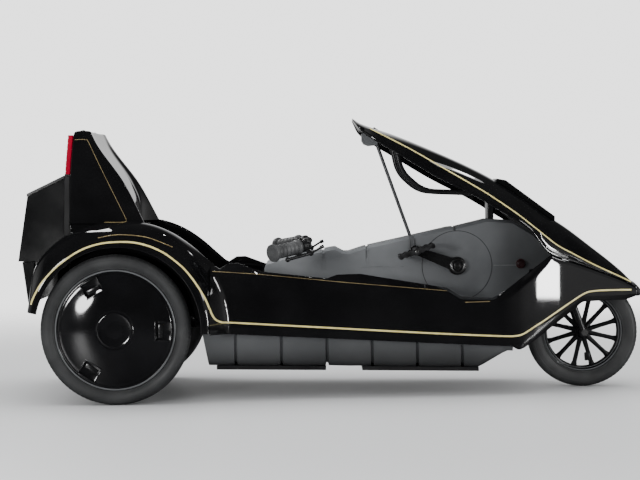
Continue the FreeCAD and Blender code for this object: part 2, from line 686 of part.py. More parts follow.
def grip():
    """Left grip with a flange at its outer end and a ring near its inner end."""
    run = grip_line()
    end = GRIP_INNER.sub(run * 24)
    body = cylinder(GRIP_R, GRIP_OUTER, end)
    body = body.fuse(cylinder(GRIP_FLANGE_R, GRIP_OUTER, GRIP_OUTER.add(run * 10)))
    body = body.fuse(cylinder(GRIP_R + 3, end.sub(run * 16), end.sub(run * 8)))
    bore = cylinder(BAR_R + SEAT_GAP, GRIP_OUTER.add(run * (12 - SEAT_GAP)), end.add(run * 5))
    return body.cut(bore)


def brake_lever():
    """Left brake lever ahead of the grip, with its clamp, ball end and cable stop."""
    run = grip_line()
    middle = GRIP_INNER.sub(run * 14)
    pivot = middle.add(V(22, 0, -20))
    tip = GRIP_OUTER.add(run * 22).add(V(27, 0, -21))
    body = cylinder(17, middle.sub(run * 8), middle.add(run * 8))
    body = body.fuse(cylinder(6, middle, pivot))
    body = body.fuse(cylinder(4.5, pivot, tip)).fuse(cylinder(7, pivot.sub(V(0, 8, 0)), pivot.add(V(0, 8, 0))))
    stop = pivot.add(V(26, 6, 16))
    body = body.fuse(cylinder(3, pivot, stop)).fuse(cylinder(5, stop, stop.add(V(9, 2, 4))))
    return body.cut(cylinder(BAR_R + SEAT_GAP, middle.sub(run * 20), middle.add(run * 20)))


# ---------------------------------------------------------------- pedals
def crankset():
    """Spindle, both arms and the two pedal spindles."""
    outer = CRANK_INNER_Y + CRANK_THICK
    body = cylinder(CRANK_SPINDLE_R, V(CRANK_X, -outer, CRANK_Z), V(CRANK_X, outer, CRANK_Z))
    for side in (-1, 1):
        x, z = crank_end(side)
        run = V(x - CRANK_X, 0, z - CRANK_Z).normalize()
        out = V(-run.z, 0, run.x)
        y0 = side * CRANK_INNER_Y
        centre = V(CRANK_X, y0, CRANK_Z)
        eye = V(x, y0, z)
        depth = V(0, side * CRANK_THICK, 0)
        arm = Part.Face(wire([centre.add(out * 18), eye.add(out * 11), eye.sub(out * 11), centre.sub(out * 18)]))
        body = body.fuse(arm.extrude(depth))
        body = body.fuse(cylinder(CRANK_BOSS_R, centre, centre.add(depth)))
        body = body.fuse(cylinder(14, eye, eye.add(depth)))
        body = body.fuse(cylinder(PEDAL_SPINDLE_R, eye, V(x, side * (PEDAL_OUTER_Y - 4), z)))
    return body


def pedal(side):
    """Open cage pedal that turns on its spindle."""
    x, z = crank_end(side)
    half = PEDAL_LENGTH / 2
    body = box(-half, half, PEDAL_INNER_Y, PEDAL_OUTER_Y, -PEDAL_HEIGHT / 2, PEDAL_HEIGHT / 2)
    for low, high in ((-half + 8, -15), (15, half - 8)):
        body = body.cut(box(low, high, PEDAL_INNER_Y + 10, PEDAL_OUTER_Y - 10, -PEDAL_HEIGHT, PEDAL_HEIGHT))
    body = body.cut(cylinder(PEDAL_SPINDLE_R + RUN_GAP, V(0, 0, 0), V(0, PEDAL_OUTER_Y - 4 + SEAT_GAP, 0)))
    if side < 0:
        body = other_side(body)
    body.rotate(ORIGIN, Y_AXIS, -PEDAL_TILT_DEG)
    body.translate(V(x, 0, z))
    return body


# ---------------------------------------------------------------- rear end
def rear_axle():
    """Fixed axle that both rear wheels turn on."""
    half = WHEEL_Y + REAR_TYRE_HALF * 0.7 + 7
    return cylinder(REAR_AXLE_R, V(REAR_AXLE_X, -half, REAR_TYRE_R), V(REAR_AXLE_X, half, REAR_TYRE_R))


def frame_side():
    """Outer Y of the left axle plate."""
    return SEAT_HALF - TUB_WALL - SEAT_GAP


def rear_frame():
    """Two axle plates joined by the tray that carries battery and motor."""
    side = frame_side()
    x, z = REAR_AXLE_X, REAR_TYRE_R
    plate = prism([(x - 100, z + 130), (x + 39, z + 130), (x + 49, z), (x + 20, z - 26), (x - 20, z - 26), (x - 60, z)],
                  side - FRAME_PLATE, side)
    body = plate.fuse(other_side(plate)).fuse(box(x - 113, x + 99, -side, side, z + 10, z + 19))
    return body.cut(cylinder(REAR_AXLE_R + SEAT_GAP, V(x, -side, z), V(x, side, z)))


def battery():
    """Battery block on the rear tray."""
    z = REAR_TYRE_R + 19 + SEAT_GAP
    right = frame_side() - FRAME_PLATE - 26
    return box(REAR_AXLE_X - 108, REAR_AXLE_X + 95, -right, 60, z, z + 82)


def motor():
    """Motor block on the rear tray."""
    x = REAR_AXLE_X - 15
    z = REAR_TYRE_R + 19 + SEAT_GAP
    left = frame_side() - FRAME_PLATE - 20
    body = cylinder(45, V(x, 80, z + 45), V(x, left, z + 45))
    return body.fuse(box(x - 35, x + 35, 90, left - 10, z, z + 30))


def boot_half(z):
    """Half width of the luggage box at height z."""
    return BOOT_HALF - BOOT_TAPER * (z - BOOT_FLOOR_Z)


def boot_top(x):
    """Height of the lid's top face at x."""
    rear = BOOT_REAR_X + BOOT_LEAN
    share = (x - rear) / (BOOT_FRONT_X - rear)
    return BOOT_TOP_REAR_Z + share * (BOOT_TOP_FRONT_Z - BOOT_TOP_REAR_Z)


def boot_form(inset, low, drop):
    """Tapered body of the luggage box, shrunk by inset, from height low to drop below the lid's top face."""
    rows = []
    for z in (low, LID_HINGE_Z + 30):
        lean = BOOT_LEAN * (z - BOOT_FLOOR_Z) / (BOOT_TOP_REAR_Z - BOOT_FLOOR_Z)
        rear, front, half = BOOT_REAR_X + lean + inset, BOOT_FRONT_X - inset, boot_half(z) - inset
        rows.append(wire([V(rear, -half, z), V(front, -half, z), V(front, half, z), V(rear, half, z)]))
    ends = (BOOT_REAR_X - 50, BOOT_FRONT_X + 50)
    above = [(x, boot_top(x) - drop) for x in ends] + [(x, LID_HINGE_Z + 200) for x in reversed(ends)]
    return loft(rows).cut(prism(above, -BOOT_HALF, BOOT_HALF))


def boot_box():
    """Open-topped luggage box behind the seat tower."""
    body = boot_form(0.0, BOOT_FLOOR_Z, LID_THICK + LID_GAP)
    body = body.cut(boot_form(BOOT_WALL, BOOT_FLOOR_Z + BOOT_WALL, -30.0))
    front = BOOT_FRONT_X
    for y0 in (-HINGE_Y - HINGE_LENGTH, HINGE_Y):
        y1 = y0 + HINGE_LENGTH
        body = body.fuse(hinge_bar(HINGE_PIN_R, y0 - 12, y1 + 12))
        for y in (y0 - 12, y1 + SEAT_GAP):
            body = body.fuse(hinge_bar(HINGE_R, y, y + 12 - SEAT_GAP))
            body = body.fuse(box(front - 0.5, front + 2.7, y, y + 12 - SEAT_GAP, SEAL_TOP_Z - 29, LID_HINGE_Z))
    return body


def hinge_bar(radius, y0, y1):
    """Round bar along the lid's hinge line."""
    return cylinder(radius, V(LID_HINGE_X, y0, LID_HINGE_Z), V(LID_HINGE_X, y1, LID_HINGE_Z))


def boot_lid():
    """Lid of the luggage box."""
    front = BOOT_FRONT_X
    rear = BOOT_REAR_X + BOOT_LEAN - 3
    top = [(rear, boot_top(rear)), (front, boot_top(front))]
    half = boot_half(BOOT_TOP_REAR_Z) + 1
    body = prism(top + [(x, z - LID_THICK) for x, z in reversed(top)], -half, half)
    for y0 in (-HINGE_Y - HINGE_LENGTH, HINGE_Y):
        y1 = y0 + HINGE_LENGTH
        body = body.fuse(hinge_bar(HINGE_R, y0, y1))
        for y in (y0 - 13, y1):
            body = body.cut(hinge_bar(HINGE_R + 1.5, y, y + 13))
            body = body.cut(box(front - 1.5, front + 2, y, y + 13, LID_HINGE_Z - 60, LID_HINGE_Z + 10))
        body = body.cut(hinge_bar(HINGE_PIN_R + RUN_GAP, y0 - 13, y1 + 13))
    return body


def boot_seal():
    """Grey gasket between the luggage box and the seat, cut out below the lid's hinges."""
    x = TUB_REAR_X - SEAT_GAP
    notch = HINGE_Y + HINGE_LENGTH + 22
    low, high, shelf = BOOT_FLOOR_Z, SEAL_TOP_Z, SEAL_TOP_Z - 31
    left = [(boot_half(low), low), (boot_half(high), high), (notch, high), (notch, shelf)]
    face = Part.Face(wire([V(x, y, z) for y, z in left + [(-y, z) for y, z in reversed(left)]]))
    return face.extrude(V(-SEAL_THICK, 0, 0))


def rear_flap():
    """Wedge that hangs below the luggage box."""
    z = BOOT_FLOOR_Z - SEAT_GAP
    x = BOOT_REAR_X
    return prism([(x + 10, z), (x + 25, 270), (x + 35, 270), (x + 47, z)], -BOOT_HALF, BOOT_HALF)


def tail_lens():
    """Red lens across the back of the seat tower."""
    x = TUB_REAR_X - SEAT_GAP
    rim = 4.0
    low, high = LENS_LOW_Z, LENS_HIGH_Z
    corners = [(along(TOWER, z - TUB_TOP_Z, 3) * SEAT_HALF / TOWER[0][3] - rim, z) for z in (low, high)]
    face = Part.Face(wire([V(x, y, z) for y, z in corners + [(-y, z) for y, z in reversed(corners)]]))
    return face.extrude(V(-LENS_THICK, 0, 0))


# ---------------------------------------------------------------- pod fittings
def largest(shape):
    """The largest solid of a cut shape."""
    return sorted(shape.Solids, key=lambda solid: -solid.Volume)[0]


def lamp_housing():
    """Raised lamp plate on top of the pod."""
    body = prism([(457, 600), (483, 595), (622, 491), (622, 440), (457, 540)], -58, 58)
    body = body.cut(pod_block())
    return body.cut(box(590, 623, -44, 44, 400, 520))


def lamp_lens():
    """Clear lens in the front of the lamp plate."""
    body = prism([(590.3, 514.5), (622, 491), (622, 440), (590.3, 440)], -43.7, 43.7)
    return body.cut(pod_block())


def display():
    """Display unit under the pod's rear lip."""
    body = prism([(75, 712), (81, 702), (94, 697), (115, 699), (122, 705), (122, 730), (102, 734), (102, 775), (88, 775),
                  (88, 736), (75, 732)], -34, 34)
    return largest(body.cut(nose_pod()))


def stay_rod():
    """Thin rod between the tunnel and the display unit."""
    body = cylinder(5, V(213, -42, 430), V(118, -28, 702))
    return largest(body.cut(tunnel_form(TUNNEL_HALF, 0.0).fuse(display())))


def pod_rail():
    """Left bent tube below the pod."""
    rail = tube([V(166, 120, 702), V(184, 120, 620), V(245, 120, 566), V(470, 120, 556)], 7.5, 95.0)
    return largest(rail.cut(nose_pod()))


def pod_post():
    """Block between the tunnel's top and the pod."""
    body = box(432, 449, -40, 40, 470, 620).cut(tunnel_form(TUNNEL_HALF, 0.0))
    return largest(body.cut(nose_pod()))


def knob():
    """Small round knob on the tunnel's right side."""
    y = -TUNNEL_HALF - SEAT_GAP
    return cylinder(10, V(523, y - 20, 357), V(523, y, 357)).fuse(cylinder(14, V(523, y - 4, 357), V(523, y, 357)))


def main():
    """Builds and writes every piece."""
    pieces = {
        "lower_shell": lower_shell(),
        "tunnel": tunnel(),
        "belly_plates": belly_plates(),
        "sill_left": sill(),
        "fender_left": fender(),
        "seat_tub": seat_tub(),
        "seat_tower": seat_tower(),
        "nose_shell": nose_shell(),
        "nose_pod": nose_pod(),
        "tyre_rear_left": rear_tyre(),
        "wheel_rear_left": rear_wheel(),
        "tyre_front": front_tyre(),
        "wheel_front": front_wheel(),
        "fork": fork(),
        "front_axle": front_axle(),
        "head_tube": head_tube(),
        "bar_post": bar_post(),
        "handlebar": handlebar(),
        "grip_left": grip(),
        "brake_lever_left": brake_lever(),
        "crankset": crankset(),
        "rear_axle": rear_axle(),
        "rear_frame": rear_frame(),
        "battery": battery(),
        "motor": motor(),
        "boot_box": boot_box(),
        "boot_lid": boot_lid(),
        "boot_seal": boot_seal(),
        "rear_flap": rear_flap(),
        "tail_lens": tail_lens(),
        "lamp_housing": lamp_housing(),
        "lamp_lens": lamp_lens(),
        "display_unit": display(),
        "stay_rod": stay_rod(),
        "pod_rail_left": pod_rail(),
        "pod_post": pod_post(),
        "side_knob": knob(),
    }
    for name, shape in pieces.items():
        save(name, shape)
        if name.endswith("_left"):
            save(name.replace("_left", "_right"), other_side(shape))
    save("pedal_left", pedal(1))
    save("pedal_right", pedal(-1))


main()
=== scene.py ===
"""Looks of a three-wheeled pedal and electric car for one rider.

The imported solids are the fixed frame. The glossy body is rebuilt as smooth skins on the solids' own
stations, the grey shells and the running gear get rounded edges and small parts, and every piece gets a
procedural finish. Lengths in the tables are in millimetres, in the frame of the solids: +X is forward,
+Y is the car's left and +Z is up.
"""

import json
import logging
import math
from collections.abc import Iterable, Sequence
from dataclasses import dataclass, field
from enum import Enum

import bmesh
import bpy
from mathutils import Matrix, Vector
from mathutils.bvhtree import BVHTree


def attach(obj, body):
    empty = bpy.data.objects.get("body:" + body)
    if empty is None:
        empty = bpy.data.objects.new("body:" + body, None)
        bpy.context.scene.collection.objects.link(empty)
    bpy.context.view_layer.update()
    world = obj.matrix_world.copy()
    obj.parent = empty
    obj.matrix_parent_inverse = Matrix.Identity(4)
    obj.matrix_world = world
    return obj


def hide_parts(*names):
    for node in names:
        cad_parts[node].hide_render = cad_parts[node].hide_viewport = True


LOG = logging.getLogger("three_wheeled_car")
MM = 0.001
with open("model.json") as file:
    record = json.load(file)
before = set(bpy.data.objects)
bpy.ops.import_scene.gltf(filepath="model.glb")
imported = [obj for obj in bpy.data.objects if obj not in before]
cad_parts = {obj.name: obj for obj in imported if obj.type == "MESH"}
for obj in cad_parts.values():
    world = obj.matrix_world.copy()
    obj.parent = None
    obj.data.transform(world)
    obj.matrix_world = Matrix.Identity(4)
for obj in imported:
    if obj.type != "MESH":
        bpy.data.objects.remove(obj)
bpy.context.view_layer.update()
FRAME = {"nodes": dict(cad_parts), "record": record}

Flat = tuple[float, float]
Spot = tuple[float, float, float]
Value = float | bpy.types.NodeSocket
Table = Sequence[Sequence[float]]

# Centres that several sub-assemblies share, as x, z, and the rear wheels' distance from the middle plane
REAR_AXLE: Flat = (-600.0, 203.2)
FRONT_AXLE: Flat = (704.0, 158.75)
WHEEL_ARCH: Flat = (-591.0, 203.2)
CRANK: Flat = (342.0, 353.0)
REAR_WHEEL_Y = 325.0
TINY_R = 0.01             # radius that closes a turned profile on its axis


class Side(Enum):
    """One side of the car; the value is the sign of Y."""

    LEFT = 1
    RIGHT = -1

    @property
    def word(self) -> str:
        """The side's name as node names end with it."""
        return self.name.lower()


# -------------------- curves and tables
def glide(table: Table, x: float, column: int) -> float:
    """Reads a column at x on a smooth curve through the rows that never overshoots them.

    Args:
        table: Rows that rise in their first column.
        x: Where to read.
        column: Which column to read.

    Returns:
        The column's value, held flat past either end.
    """
    xs = [row[0] for row in table]
    ys = [row[column] for row in table]
    if x <= xs[0]:
        return ys[0]
    if x >= xs[-1]:
        return ys[-1]
    slopes = [(y1 - y0) / (x1 - x0) for x0, x1, y0, y1 in zip(xs, xs[1:], ys, ys[1:])]
    i = max(k for k in range(len(xs) - 1) if xs[k] <= x)

    def tangent(k: int) -> float:
        """Slope of the curve at a row.

        Args:
            k: The row's number.

        Returns:
            The slope, 0 where the column turns back.
        """
        if k == 0 or k == len(xs) - 1:
            return slopes[min(k, len(slopes) - 1)]
        before, after = slopes[k - 1], slopes[k]
        if before * after <= 0:
            return 0.0
        return 2 * before * after / (before + after)

    width = xs[i + 1] - xs[i]
    t = (x - xs[i]) / width
    low, high = ys[i], ys[i + 1]
    m0, m1 = tangent(i) * width, tangent(i + 1) * width
    return (
        (2 * t**3 - 3 * t**2 + 1) * low + (t**3 - 2 * t**2 + t) * m0
        + (3 * t**2 - 2 * t**3) * high + (t**3 - t**2) * m1
    )


def spread(start: float, end: float, step: float) -> list[float]:
    """Evenly spaced values from start to end, no further apart than step."""
    count = max(1, math.ceil(abs(end - start) / step))
    return [start + (end - start) * i / count for i in range(count + 1)]


def rounded(corners: Sequence[Flat], radii: Sequence[float], steps: int = 5) -> list[Flat]:
    """Rounds the corners of a closed outline.

    Args:
        corners: The outline's corners.
        radii: How far from each corner its rounding starts.
        steps: How many runs each rounding has.

    Returns:
        The outline's points, always the same number for the same number of corners.
    """
    points: list[Flat] = []
    count = len(corners)
    for i, (corner, radius) in enumerate(zip(corners, radii)):
        here = Vector(corner)
        ends = []
        for other in (corners[i - 1], corners[(i + 1) % count]):
            away = Vector(other) - here
            reach = min(radius, away.length * 0.48)
            ends.append(here + away.normalized() * reach)
        for k in range(steps + 1):
            t = k / steps
            point = ends[0] * (1 - t) ** 2 + here * 2 * t * (1 - t) + ends[1] * t**2
            points.append((point.x, point.y))
    return points


def flowing(points: Sequence[Flat], step: float) -> list[Flat]:
    """Puts points along a smooth line through the given ones.

    Args:
        points: Where the line passes.
        step: About how far apart the new points are.

    Returns:
        The new points, from the first to the last given one.
    """
    result: list[Flat] = []
    padded = [points[0], *points, points[-1]]
    for a, b, c, d in zip(padded, padded[1:], padded[2:], padded[3:]):
        a, b, c, d = Vector(a), Vector(b), Vector(c), Vector(d)
        runs = max(1, round((c - b).length / step))
        for k in range(runs):
            t = k / runs
            square, cube = 2 * a - 5 * b + 4 * c - d, 3 * b - a - 3 * c + d
            point = 0.5 * (2 * b + (c - a) * t + square * t**2 + cube * t**3)
            result.append((point.x, point.y))
    result.append(tuple(points[-1]))
    return result


# -------------------- mesh building
def add_object(name: str, data: bpy.types.ID) -> bpy.types.Object:
    """Makes an object from its data and links it to the scene.

    Args:
        name: The object's name.
        data: Its mesh, light or camera.

    Returns:
        The new object.
    """
    thing = bpy.data.objects.new(name, data)
    bpy.context.scene.collection.objects.link(thing)
    return thing


def smooth(mesh: bpy.types.Mesh, sharp: float) -> None:
    """Shades a mesh smoothly, apart from edges that bend by more than sharp degrees."""
    mesh.shade_smooth()
    mesh.set_sharp_from_angle(angle=math.radians(sharp))


def make_piece(name: str, verts: Sequence[Sequence[float]], faces: Sequence[Sequence[int]],
               sharp: float = 35.0) -> bpy.types.Object:
    """Makes a smooth-shaded mesh piece from points in millimetres.

    Args:
        name: The piece's name.
        verts: Points in millimetres.
        faces: Corner numbers of each face.
        sharp: Edges that bend by more than this many degrees stay sharp.

    Returns:
        The new object, linked to the scene.
    """
    mesh = bpy.data.meshes.new(name)
    mesh.from_pydata([Vector(v) * MM for v in verts], [], faces)
    mesh.validate()
    piece = add_object(name, mesh)
    tidy_faces(mesh)
    smooth(mesh, sharp)
    return piece


def tidy_faces(mesh: bpy.types.Mesh) -> None:
    """Merges doubled points and turns every face outward.

    Args:
        mesh: The mesh to change.
    """
    work = bmesh.new()
    work.from_mesh(mesh)
    bmesh.ops.remove_doubles(work, verts=work.verts, dist=1e-6)
    bmesh.ops.recalc_face_normals(work, faces=work.faces)
    work.to_mesh(mesh)
    work.free()


def tube_faces(rings: int, size: int, looped: bool = False) -> list[list[int]]:
    """Lists the faces between neighbouring closed rings of points.

    Args:
        rings: How many rings there are.
        size: How many points each ring has.
        looped: Whether the last ring is joined to the first.

    Returns:
        Corner numbers of each face.
    """
    faces = []
    for i in range(rings if looped else rings - 1):
        a, b = i * size, (i + 1) % rings * size
        for k in range(size):
            n = (k + 1) % size
            faces.append([a + k, b + k, b + n, a + n])
    return faces


def loft(name: str, rings: Sequence[Sequence[Sequence[float]]], sharp: float = 35.0,
         looped: bool = False) -> bpy.types.Object:
    """Lays a skin over closed rings of points.

    Args:
        name: The piece's name.
        rings: Rings with the same number of points, in millimetres.
        sharp: Edges that bend by more than this many degrees stay sharp.
        looped: Whether the skin runs on from the last ring to the first; otherwise its ends are flat.

    Returns:
        The new object.
    """
    size = len(rings[0])
    verts = [point for ring in rings for point in ring]
    faces = tube_faces(len(rings), size, looped)
    if not looped:
        last = (len(rings) - 1) * size
        faces += [list(range(size)), [last + k for k in range(size)]]
    return make_piece(name, verts, faces, sharp)


def turned(name: str, profile: Sequence[Flat], centre: Sequence[float],
           axis: Sequence[float] = (0, 1, 0), steps: int = 96, sharp: float = 35.0) -> bpy.types.Object:
    """Makes a full turn of a closed profile.

    Args:
        name: The piece's name.
        profile: Closed outline of (distance along the axis, radius) points.
        centre: The point that the distances start from.
        axis: The line that the profile turns about.
        steps: How many sections the turn has.
        sharp: Edges that bend by more than this many degrees stay sharp.

    Returns:
        The new object.
    """
    along = Vector(axis).normalized()
    across = along.orthogonal().normalized()
    other = along.cross(across)
    start = Vector(centre)
    rings = []
    for i in range(steps):
        angle = 2 * math.pi * i / steps
        out = across * math.cos(angle) + other * math.sin(angle)
        rings.append([start + along * d + out * r for d, r in profile])
    return loft(name, rings, sharp, looped=True)


def mirrored(profile: Iterable[Flat], sign: int) -> list[Flat]:
    """Turns the first number of every pair to one side of the middle plane."""
    return [(along * sign, other) for along, other in profile]


def rod(name: str, points: Sequence[Sequence[float]], radius: float, steps: int) -> bpy.types.Object:
    """Makes a round bar through points, with its ends closed.

    Args:
        name: The piece's name.
        points: Points of the bar's middle line, in millimetres.
        radius: The bar's radius.
        steps: How many sides the bar has.

    Returns:
        The new object.
    """
    line = [Vector(p) for p in points]
    rings = []
    guide = Vector((0, 0, 1))
    for i, point in enumerate(line):
        heading = (line[min(i + 1, len(line) - 1)] - line[max(i - 1, 0)]).normalized()
        if abs(heading.dot(guide)) > 0.95:
            guide = Vector((1, 0, 0))
        across = heading.cross(guide).normalized()
        other = across.cross(heading)
        turn = [2 * math.pi * k / steps for k in range(steps)]
        rings.append([point + (across * math.cos(a) + other * math.sin(a)) * radius for a in turn])
    return loft(name, rings, sharp=50.0)


def merge(name: str, pieces: Iterable[bpy.types.Object]) -> bpy.types.Object:
    """Joins several pieces into one that keeps its sharp edges.

    Args:
        name: The joined piece's name.
        pieces: The pieces, which the joined one takes the place of.

    Returns:
        The joined piece.
    """
    parts = list(pieces)
    with bpy.context.temp_override(active_object=parts[0], selected_editable_objects=parts):
        bpy.ops.object.join()
    parts[0].name = name
    return parts[0]


def straight(table: Table, x: float, column: int = 1) -> float:
    """Reads a column at x on straight lines between the rows.

    Args:
        table: Rows that rise in their first column.
        x: Where to read.
        column: Which column to read.

    Returns:
        The column's value, held flat past either end.
    """
    if x <= table[0][0]:
        return table[0][column]
    for low, high in zip(table, table[1:]):
        if x <= high[0]:
            share = (x - low[0]) / (high[0] - low[0])
            return low[column] + share * (high[column] - low[column])
    return table[-1][column]


def soften(piece: bpy.types.Object, width: float, angle: float = 30.0) -> bpy.types.Object:
    """Rounds a piece's edges in its mesh.

    Args:
        piece: The piece to round.
        width: Width of the rounding, in millimetres.
        angle: Edges that bend by less than this many degrees stay.

    Returns:
        The same piece.
    """
    work = bmesh.new()
    work.from_mesh(piece.data)
    limit = math.radians(angle)
    edges = [e for e in work.edges if len(e.link_faces) == 2 and e.calc_face_angle(0.0) > limit]
    bmesh.ops.bevel(work, geom=edges, offset=width * MM, segments=2, profile=0.6, affect="EDGES",
                    clamp_overlap=True)
    work.to_mesh(piece.data)
    work.free()
    smooth(piece.data, angle + 8)
    return piece


def slab(name: str, outline: Sequence[Flat], y0: float, y1: float,
         rounding: float = 0.0) -> bpy.types.Object:
    """Plate between two Y planes from an outline of (x, z) points, with rounded edges."""
    piece = loft(name, [[(x, y, z) for x, z in outline] for y in (y0, y1)])
    return soften(piece, rounding) if rounding else piece


def block(name: str, low: Spot, high: Spot, rounding: float) -> bpy.types.Object:
    """Rounded block between two corners."""
    (x0, y0, z0), (x1, y1, z1) = low, high
    return slab(name, [(x0, z0), (x1, z0), (x1, z1), (x0, z1)], y0, y1, rounding)


def bolt(name: str, at: Spot, axis: Spot, radius: float, height: float) -> bpy.types.Object:
    """Makes a domed bolt head on a thin washer.

    Args:
        name: The piece's name.
        at: Middle of the washer's seat.
        axis: Which way the head points.
        radius: The head's radius.
        height: How high the head's top is above the seat.

    Returns:
        The new object.
    """
    wide = radius * 1.45
    washer = [(-0.5, TINY_R), (-0.5, wide), (0.8, wide), (1.1, radius * 1.3), (1.1, TINY_R)]
    head = [(0.6, TINY_R), (0.6, radius), (height * 0.6, radius), (height, radius * 0.62), (height, TINY_R)]
    return merge(name, [turned("washer", washer, at, axis, steps=28),
                        turned("head", head, at, axis, steps=18, sharp=24)])


def carved(piece: bpy.types.Object, cutters: Iterable[bpy.types.Object]) -> bpy.types.Object:
    """Cuts pieces out of another and deletes them.

    Args:
        piece: The piece to cut.
        cutters: The pieces to cut out of it.

    Returns:
        The cut piece.
    """
    for cutter in cutters:
        cut = piece.modifiers.new("cut", "BOOLEAN")
        cut.operation = "DIFFERENCE"
        cut.solver = "EXACT"
        cut.object = cutter
        depsgraph = bpy.context.evaluated_depsgraph_get()
        mesh = bpy.data.meshes.new_from_object(piece.evaluated_get(depsgraph))
        piece.modifiers.clear()
        old = piece.data
        piece.data = mesh
        bpy.data.meshes.remove(old)
        bpy.data.objects.remove(cutter)
    return piece


def turned_about_y(piece: bpy.types.Object, degrees: float, centre: Flat) -> bpy.types.Object:
    """Turns a piece's mesh about a line along Y, from +X towards +Z.

    Args:
        piece: The piece to turn.
        degrees: How far it turns.
        centre: x and z of the line, in millimetres.

    Returns:
        The same piece.
    """
    at = Vector((centre[0], 0.0, centre[1])) * MM
    turn = Matrix.Rotation(math.radians(-degrees), 4, "Y")
    piece.data.transform(Matrix.Translation(at) @ turn @ Matrix.Translation(-at))
    return piece


def refined(node: str, bevel: float, segments: int = 3, angle: float = 28.0) -> bpy.types.Object:
    """Copies a CAD node with its flat faces whole and its edges rounded, and stands for that node.

    Args:
        node: The CAD node's name.
        bevel: Width of the edge rounding, in millimetres.
        segments: Runs across a rounding.
        angle: Edges that bend by less than this many degrees aren't rounded.

    Returns:
        The new object, on the node's body.
    """
    mesh = bpy.data.meshes.new(f"{node}_skin")
    work = bmesh.new()
    work.from_mesh(FRAME["nodes"][node].data)
    bmesh.ops.remove_doubles(work, verts=work.verts, dist=2e-6)
    bmesh.ops.dissolve_limit(work, angle_limit=math.radians(0.6), verts=work.verts, edges=work.edges)
    bmesh.ops.recalc_face_normals(work, faces=work.faces)
    work.to_mesh(mesh)
    work.free()
    piece = add_object(mesh.name, mesh)
    smooth(mesh, angle + 4)
    edge = piece.modifiers.new("rounded_edges", "BEVEL")
    edge.width = bevel * MM
    edge.segments = segments
    edge.limit_method = "ANGLE"
    edge.angle_limit = math.radians(angle)
    edge.use_clamp_overlap = True
    edge.harden_normals = True
    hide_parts(node)
    return piece


def body_of(node: str) -> str:
    """Name of the rigid body that a CAD node belongs to."""
    bodies = FRAME["record"]["behaviour"]["bodies"]
    return next(body for body, nodes in bodies.items() if node in nodes)


# -------------------- shared shader effects
NOISE_SPAN: Flat = (0.35, 0.68)       # where nearly all of the noise's values lie


class Effect(Enum):
    """Surface effects that several finishes share; the value is the node group's name."""

    WAVE = "panel_wave"
    SMUDGE = "smudged_gloss"
    GRAIN = "moulded_grain"
    TONE = "uneven_tone"


def new_group(name: str, inputs: dict[str, float], outputs: dict[str, str]) -> bpy.types.NodeTree:
    """Makes an empty shader node group with float inputs and typed outputs.

    Args:
        name: The group's name.
        inputs: Name and default of each float input.
        outputs: Name and socket type of each output.

    Returns:
        The new group, with its input and output nodes in place.
    """
    group = bpy.data.node_groups.new(name, "ShaderNodeTree")
    for label, value in inputs.items():
        socket = group.interface.new_socket(label, in_out="INPUT", socket_type="NodeSocketFloat")
        socket.default_value = value
    for label, kind in outputs.items():
        group.interface.new_socket(label, in_out="OUTPUT", socket_type=kind)
    group.nodes.new("NodeGroupInput")
    group.nodes.new("NodeGroupOutput")
    return group


def noise_of(group: bpy.types.NodeTree, detail: float) -> bpy.types.NodeSocket:
    """Adds noise over object coordinates, as large as the group's Scale input says.

    Args:
        group: The group.
        detail: How fine the noise is.

    Returns:
        The noise's value.
    """
    place = group.nodes.new("ShaderNodeTexCoord")
    noise = group.nodes.new("ShaderNodeTexNoise")
    noise.inputs["Detail"].default_value = detail
    group.links.new(place.outputs["Object"], noise.inputs["Vector"])
    group.links.new(group.nodes["Group Input"].outputs["Scale"], noise.inputs["Scale"])
    return noise.outputs["Fac"]


def ramp(tree: bpy.types.NodeTree, source: bpy.types.NodeSocket, span: Flat, levels: Flat,
         kind: str = "LINEAR") -> bpy.types.NodeSocket:
    """Adds a node that maps a value from one range to another.

    Args:
        tree: Where the node goes.
        source: The value.
        span: The value's range.
        levels: What the two ends of the range become.
        kind: The node's interpolation.

    Returns:
        The mapped value.
    """
    node = tree.nodes.new("ShaderNodeMapRange")
    node.interpolation_type = kind
    for label, value in zip(("From Min", "From Max", "To Min", "To Max"), (*span, *levels)):
        node.inputs[label].default_value = value
    tree.links.new(source, node.inputs["Value"])
    return node.outputs["Result"]


def blended(tree: bpy.types.NodeTree, factor: bpy.types.NodeSocket, off: Spot,
            on: Spot) -> bpy.types.NodeSocket:
    """Adds a node that mixes two colours.

    Args:
        tree: Where the node goes.
        factor: How far the colour goes from off to on.
        off: Colour at 0.
        on: Colour at 1.

    Returns:
        The mixed colour.
    """
    mix = tree.nodes.new("ShaderNodeMix")
    mix.data_type = "RGBA"
    mix.inputs["A"].default_value = (*off, 1)
    mix.inputs["B"].default_value = (*on, 1)
    tree.links.new(factor, mix.inputs["Factor"])
    return mix.outputs["Result"]


def bump_group(name: str, scale: float, strength: float, detail: float) -> bpy.types.NodeTree:
    """Builds a group that turns noise into a normal; its inputs are Scale, Strength and Distance.

    Args:
        name: The group's name.
        scale: Default of Scale.
        strength: Default of Strength.
        detail: How fine the noise is.

    Returns:
        The new group.
    """
    group = new_group(name, {"Scale": scale, "Strength": strength, "Distance": MM},
                      {"Normal": "NodeSocketVector"})
    height = noise_of(group, detail)
    bump = group.nodes.new("ShaderNodeBump")
    source = group.nodes["Group Input"].outputs
    group.links.new(height, bump.inputs["Height"])
    group.links.new(source["Strength"], bump.inputs["Strength"])
    group.links.new(source["Distance"], bump.inputs["Distance"])
    group.links.new(bump.outputs["Normal"], group.nodes["Group Output"].inputs["Normal"])
    return group


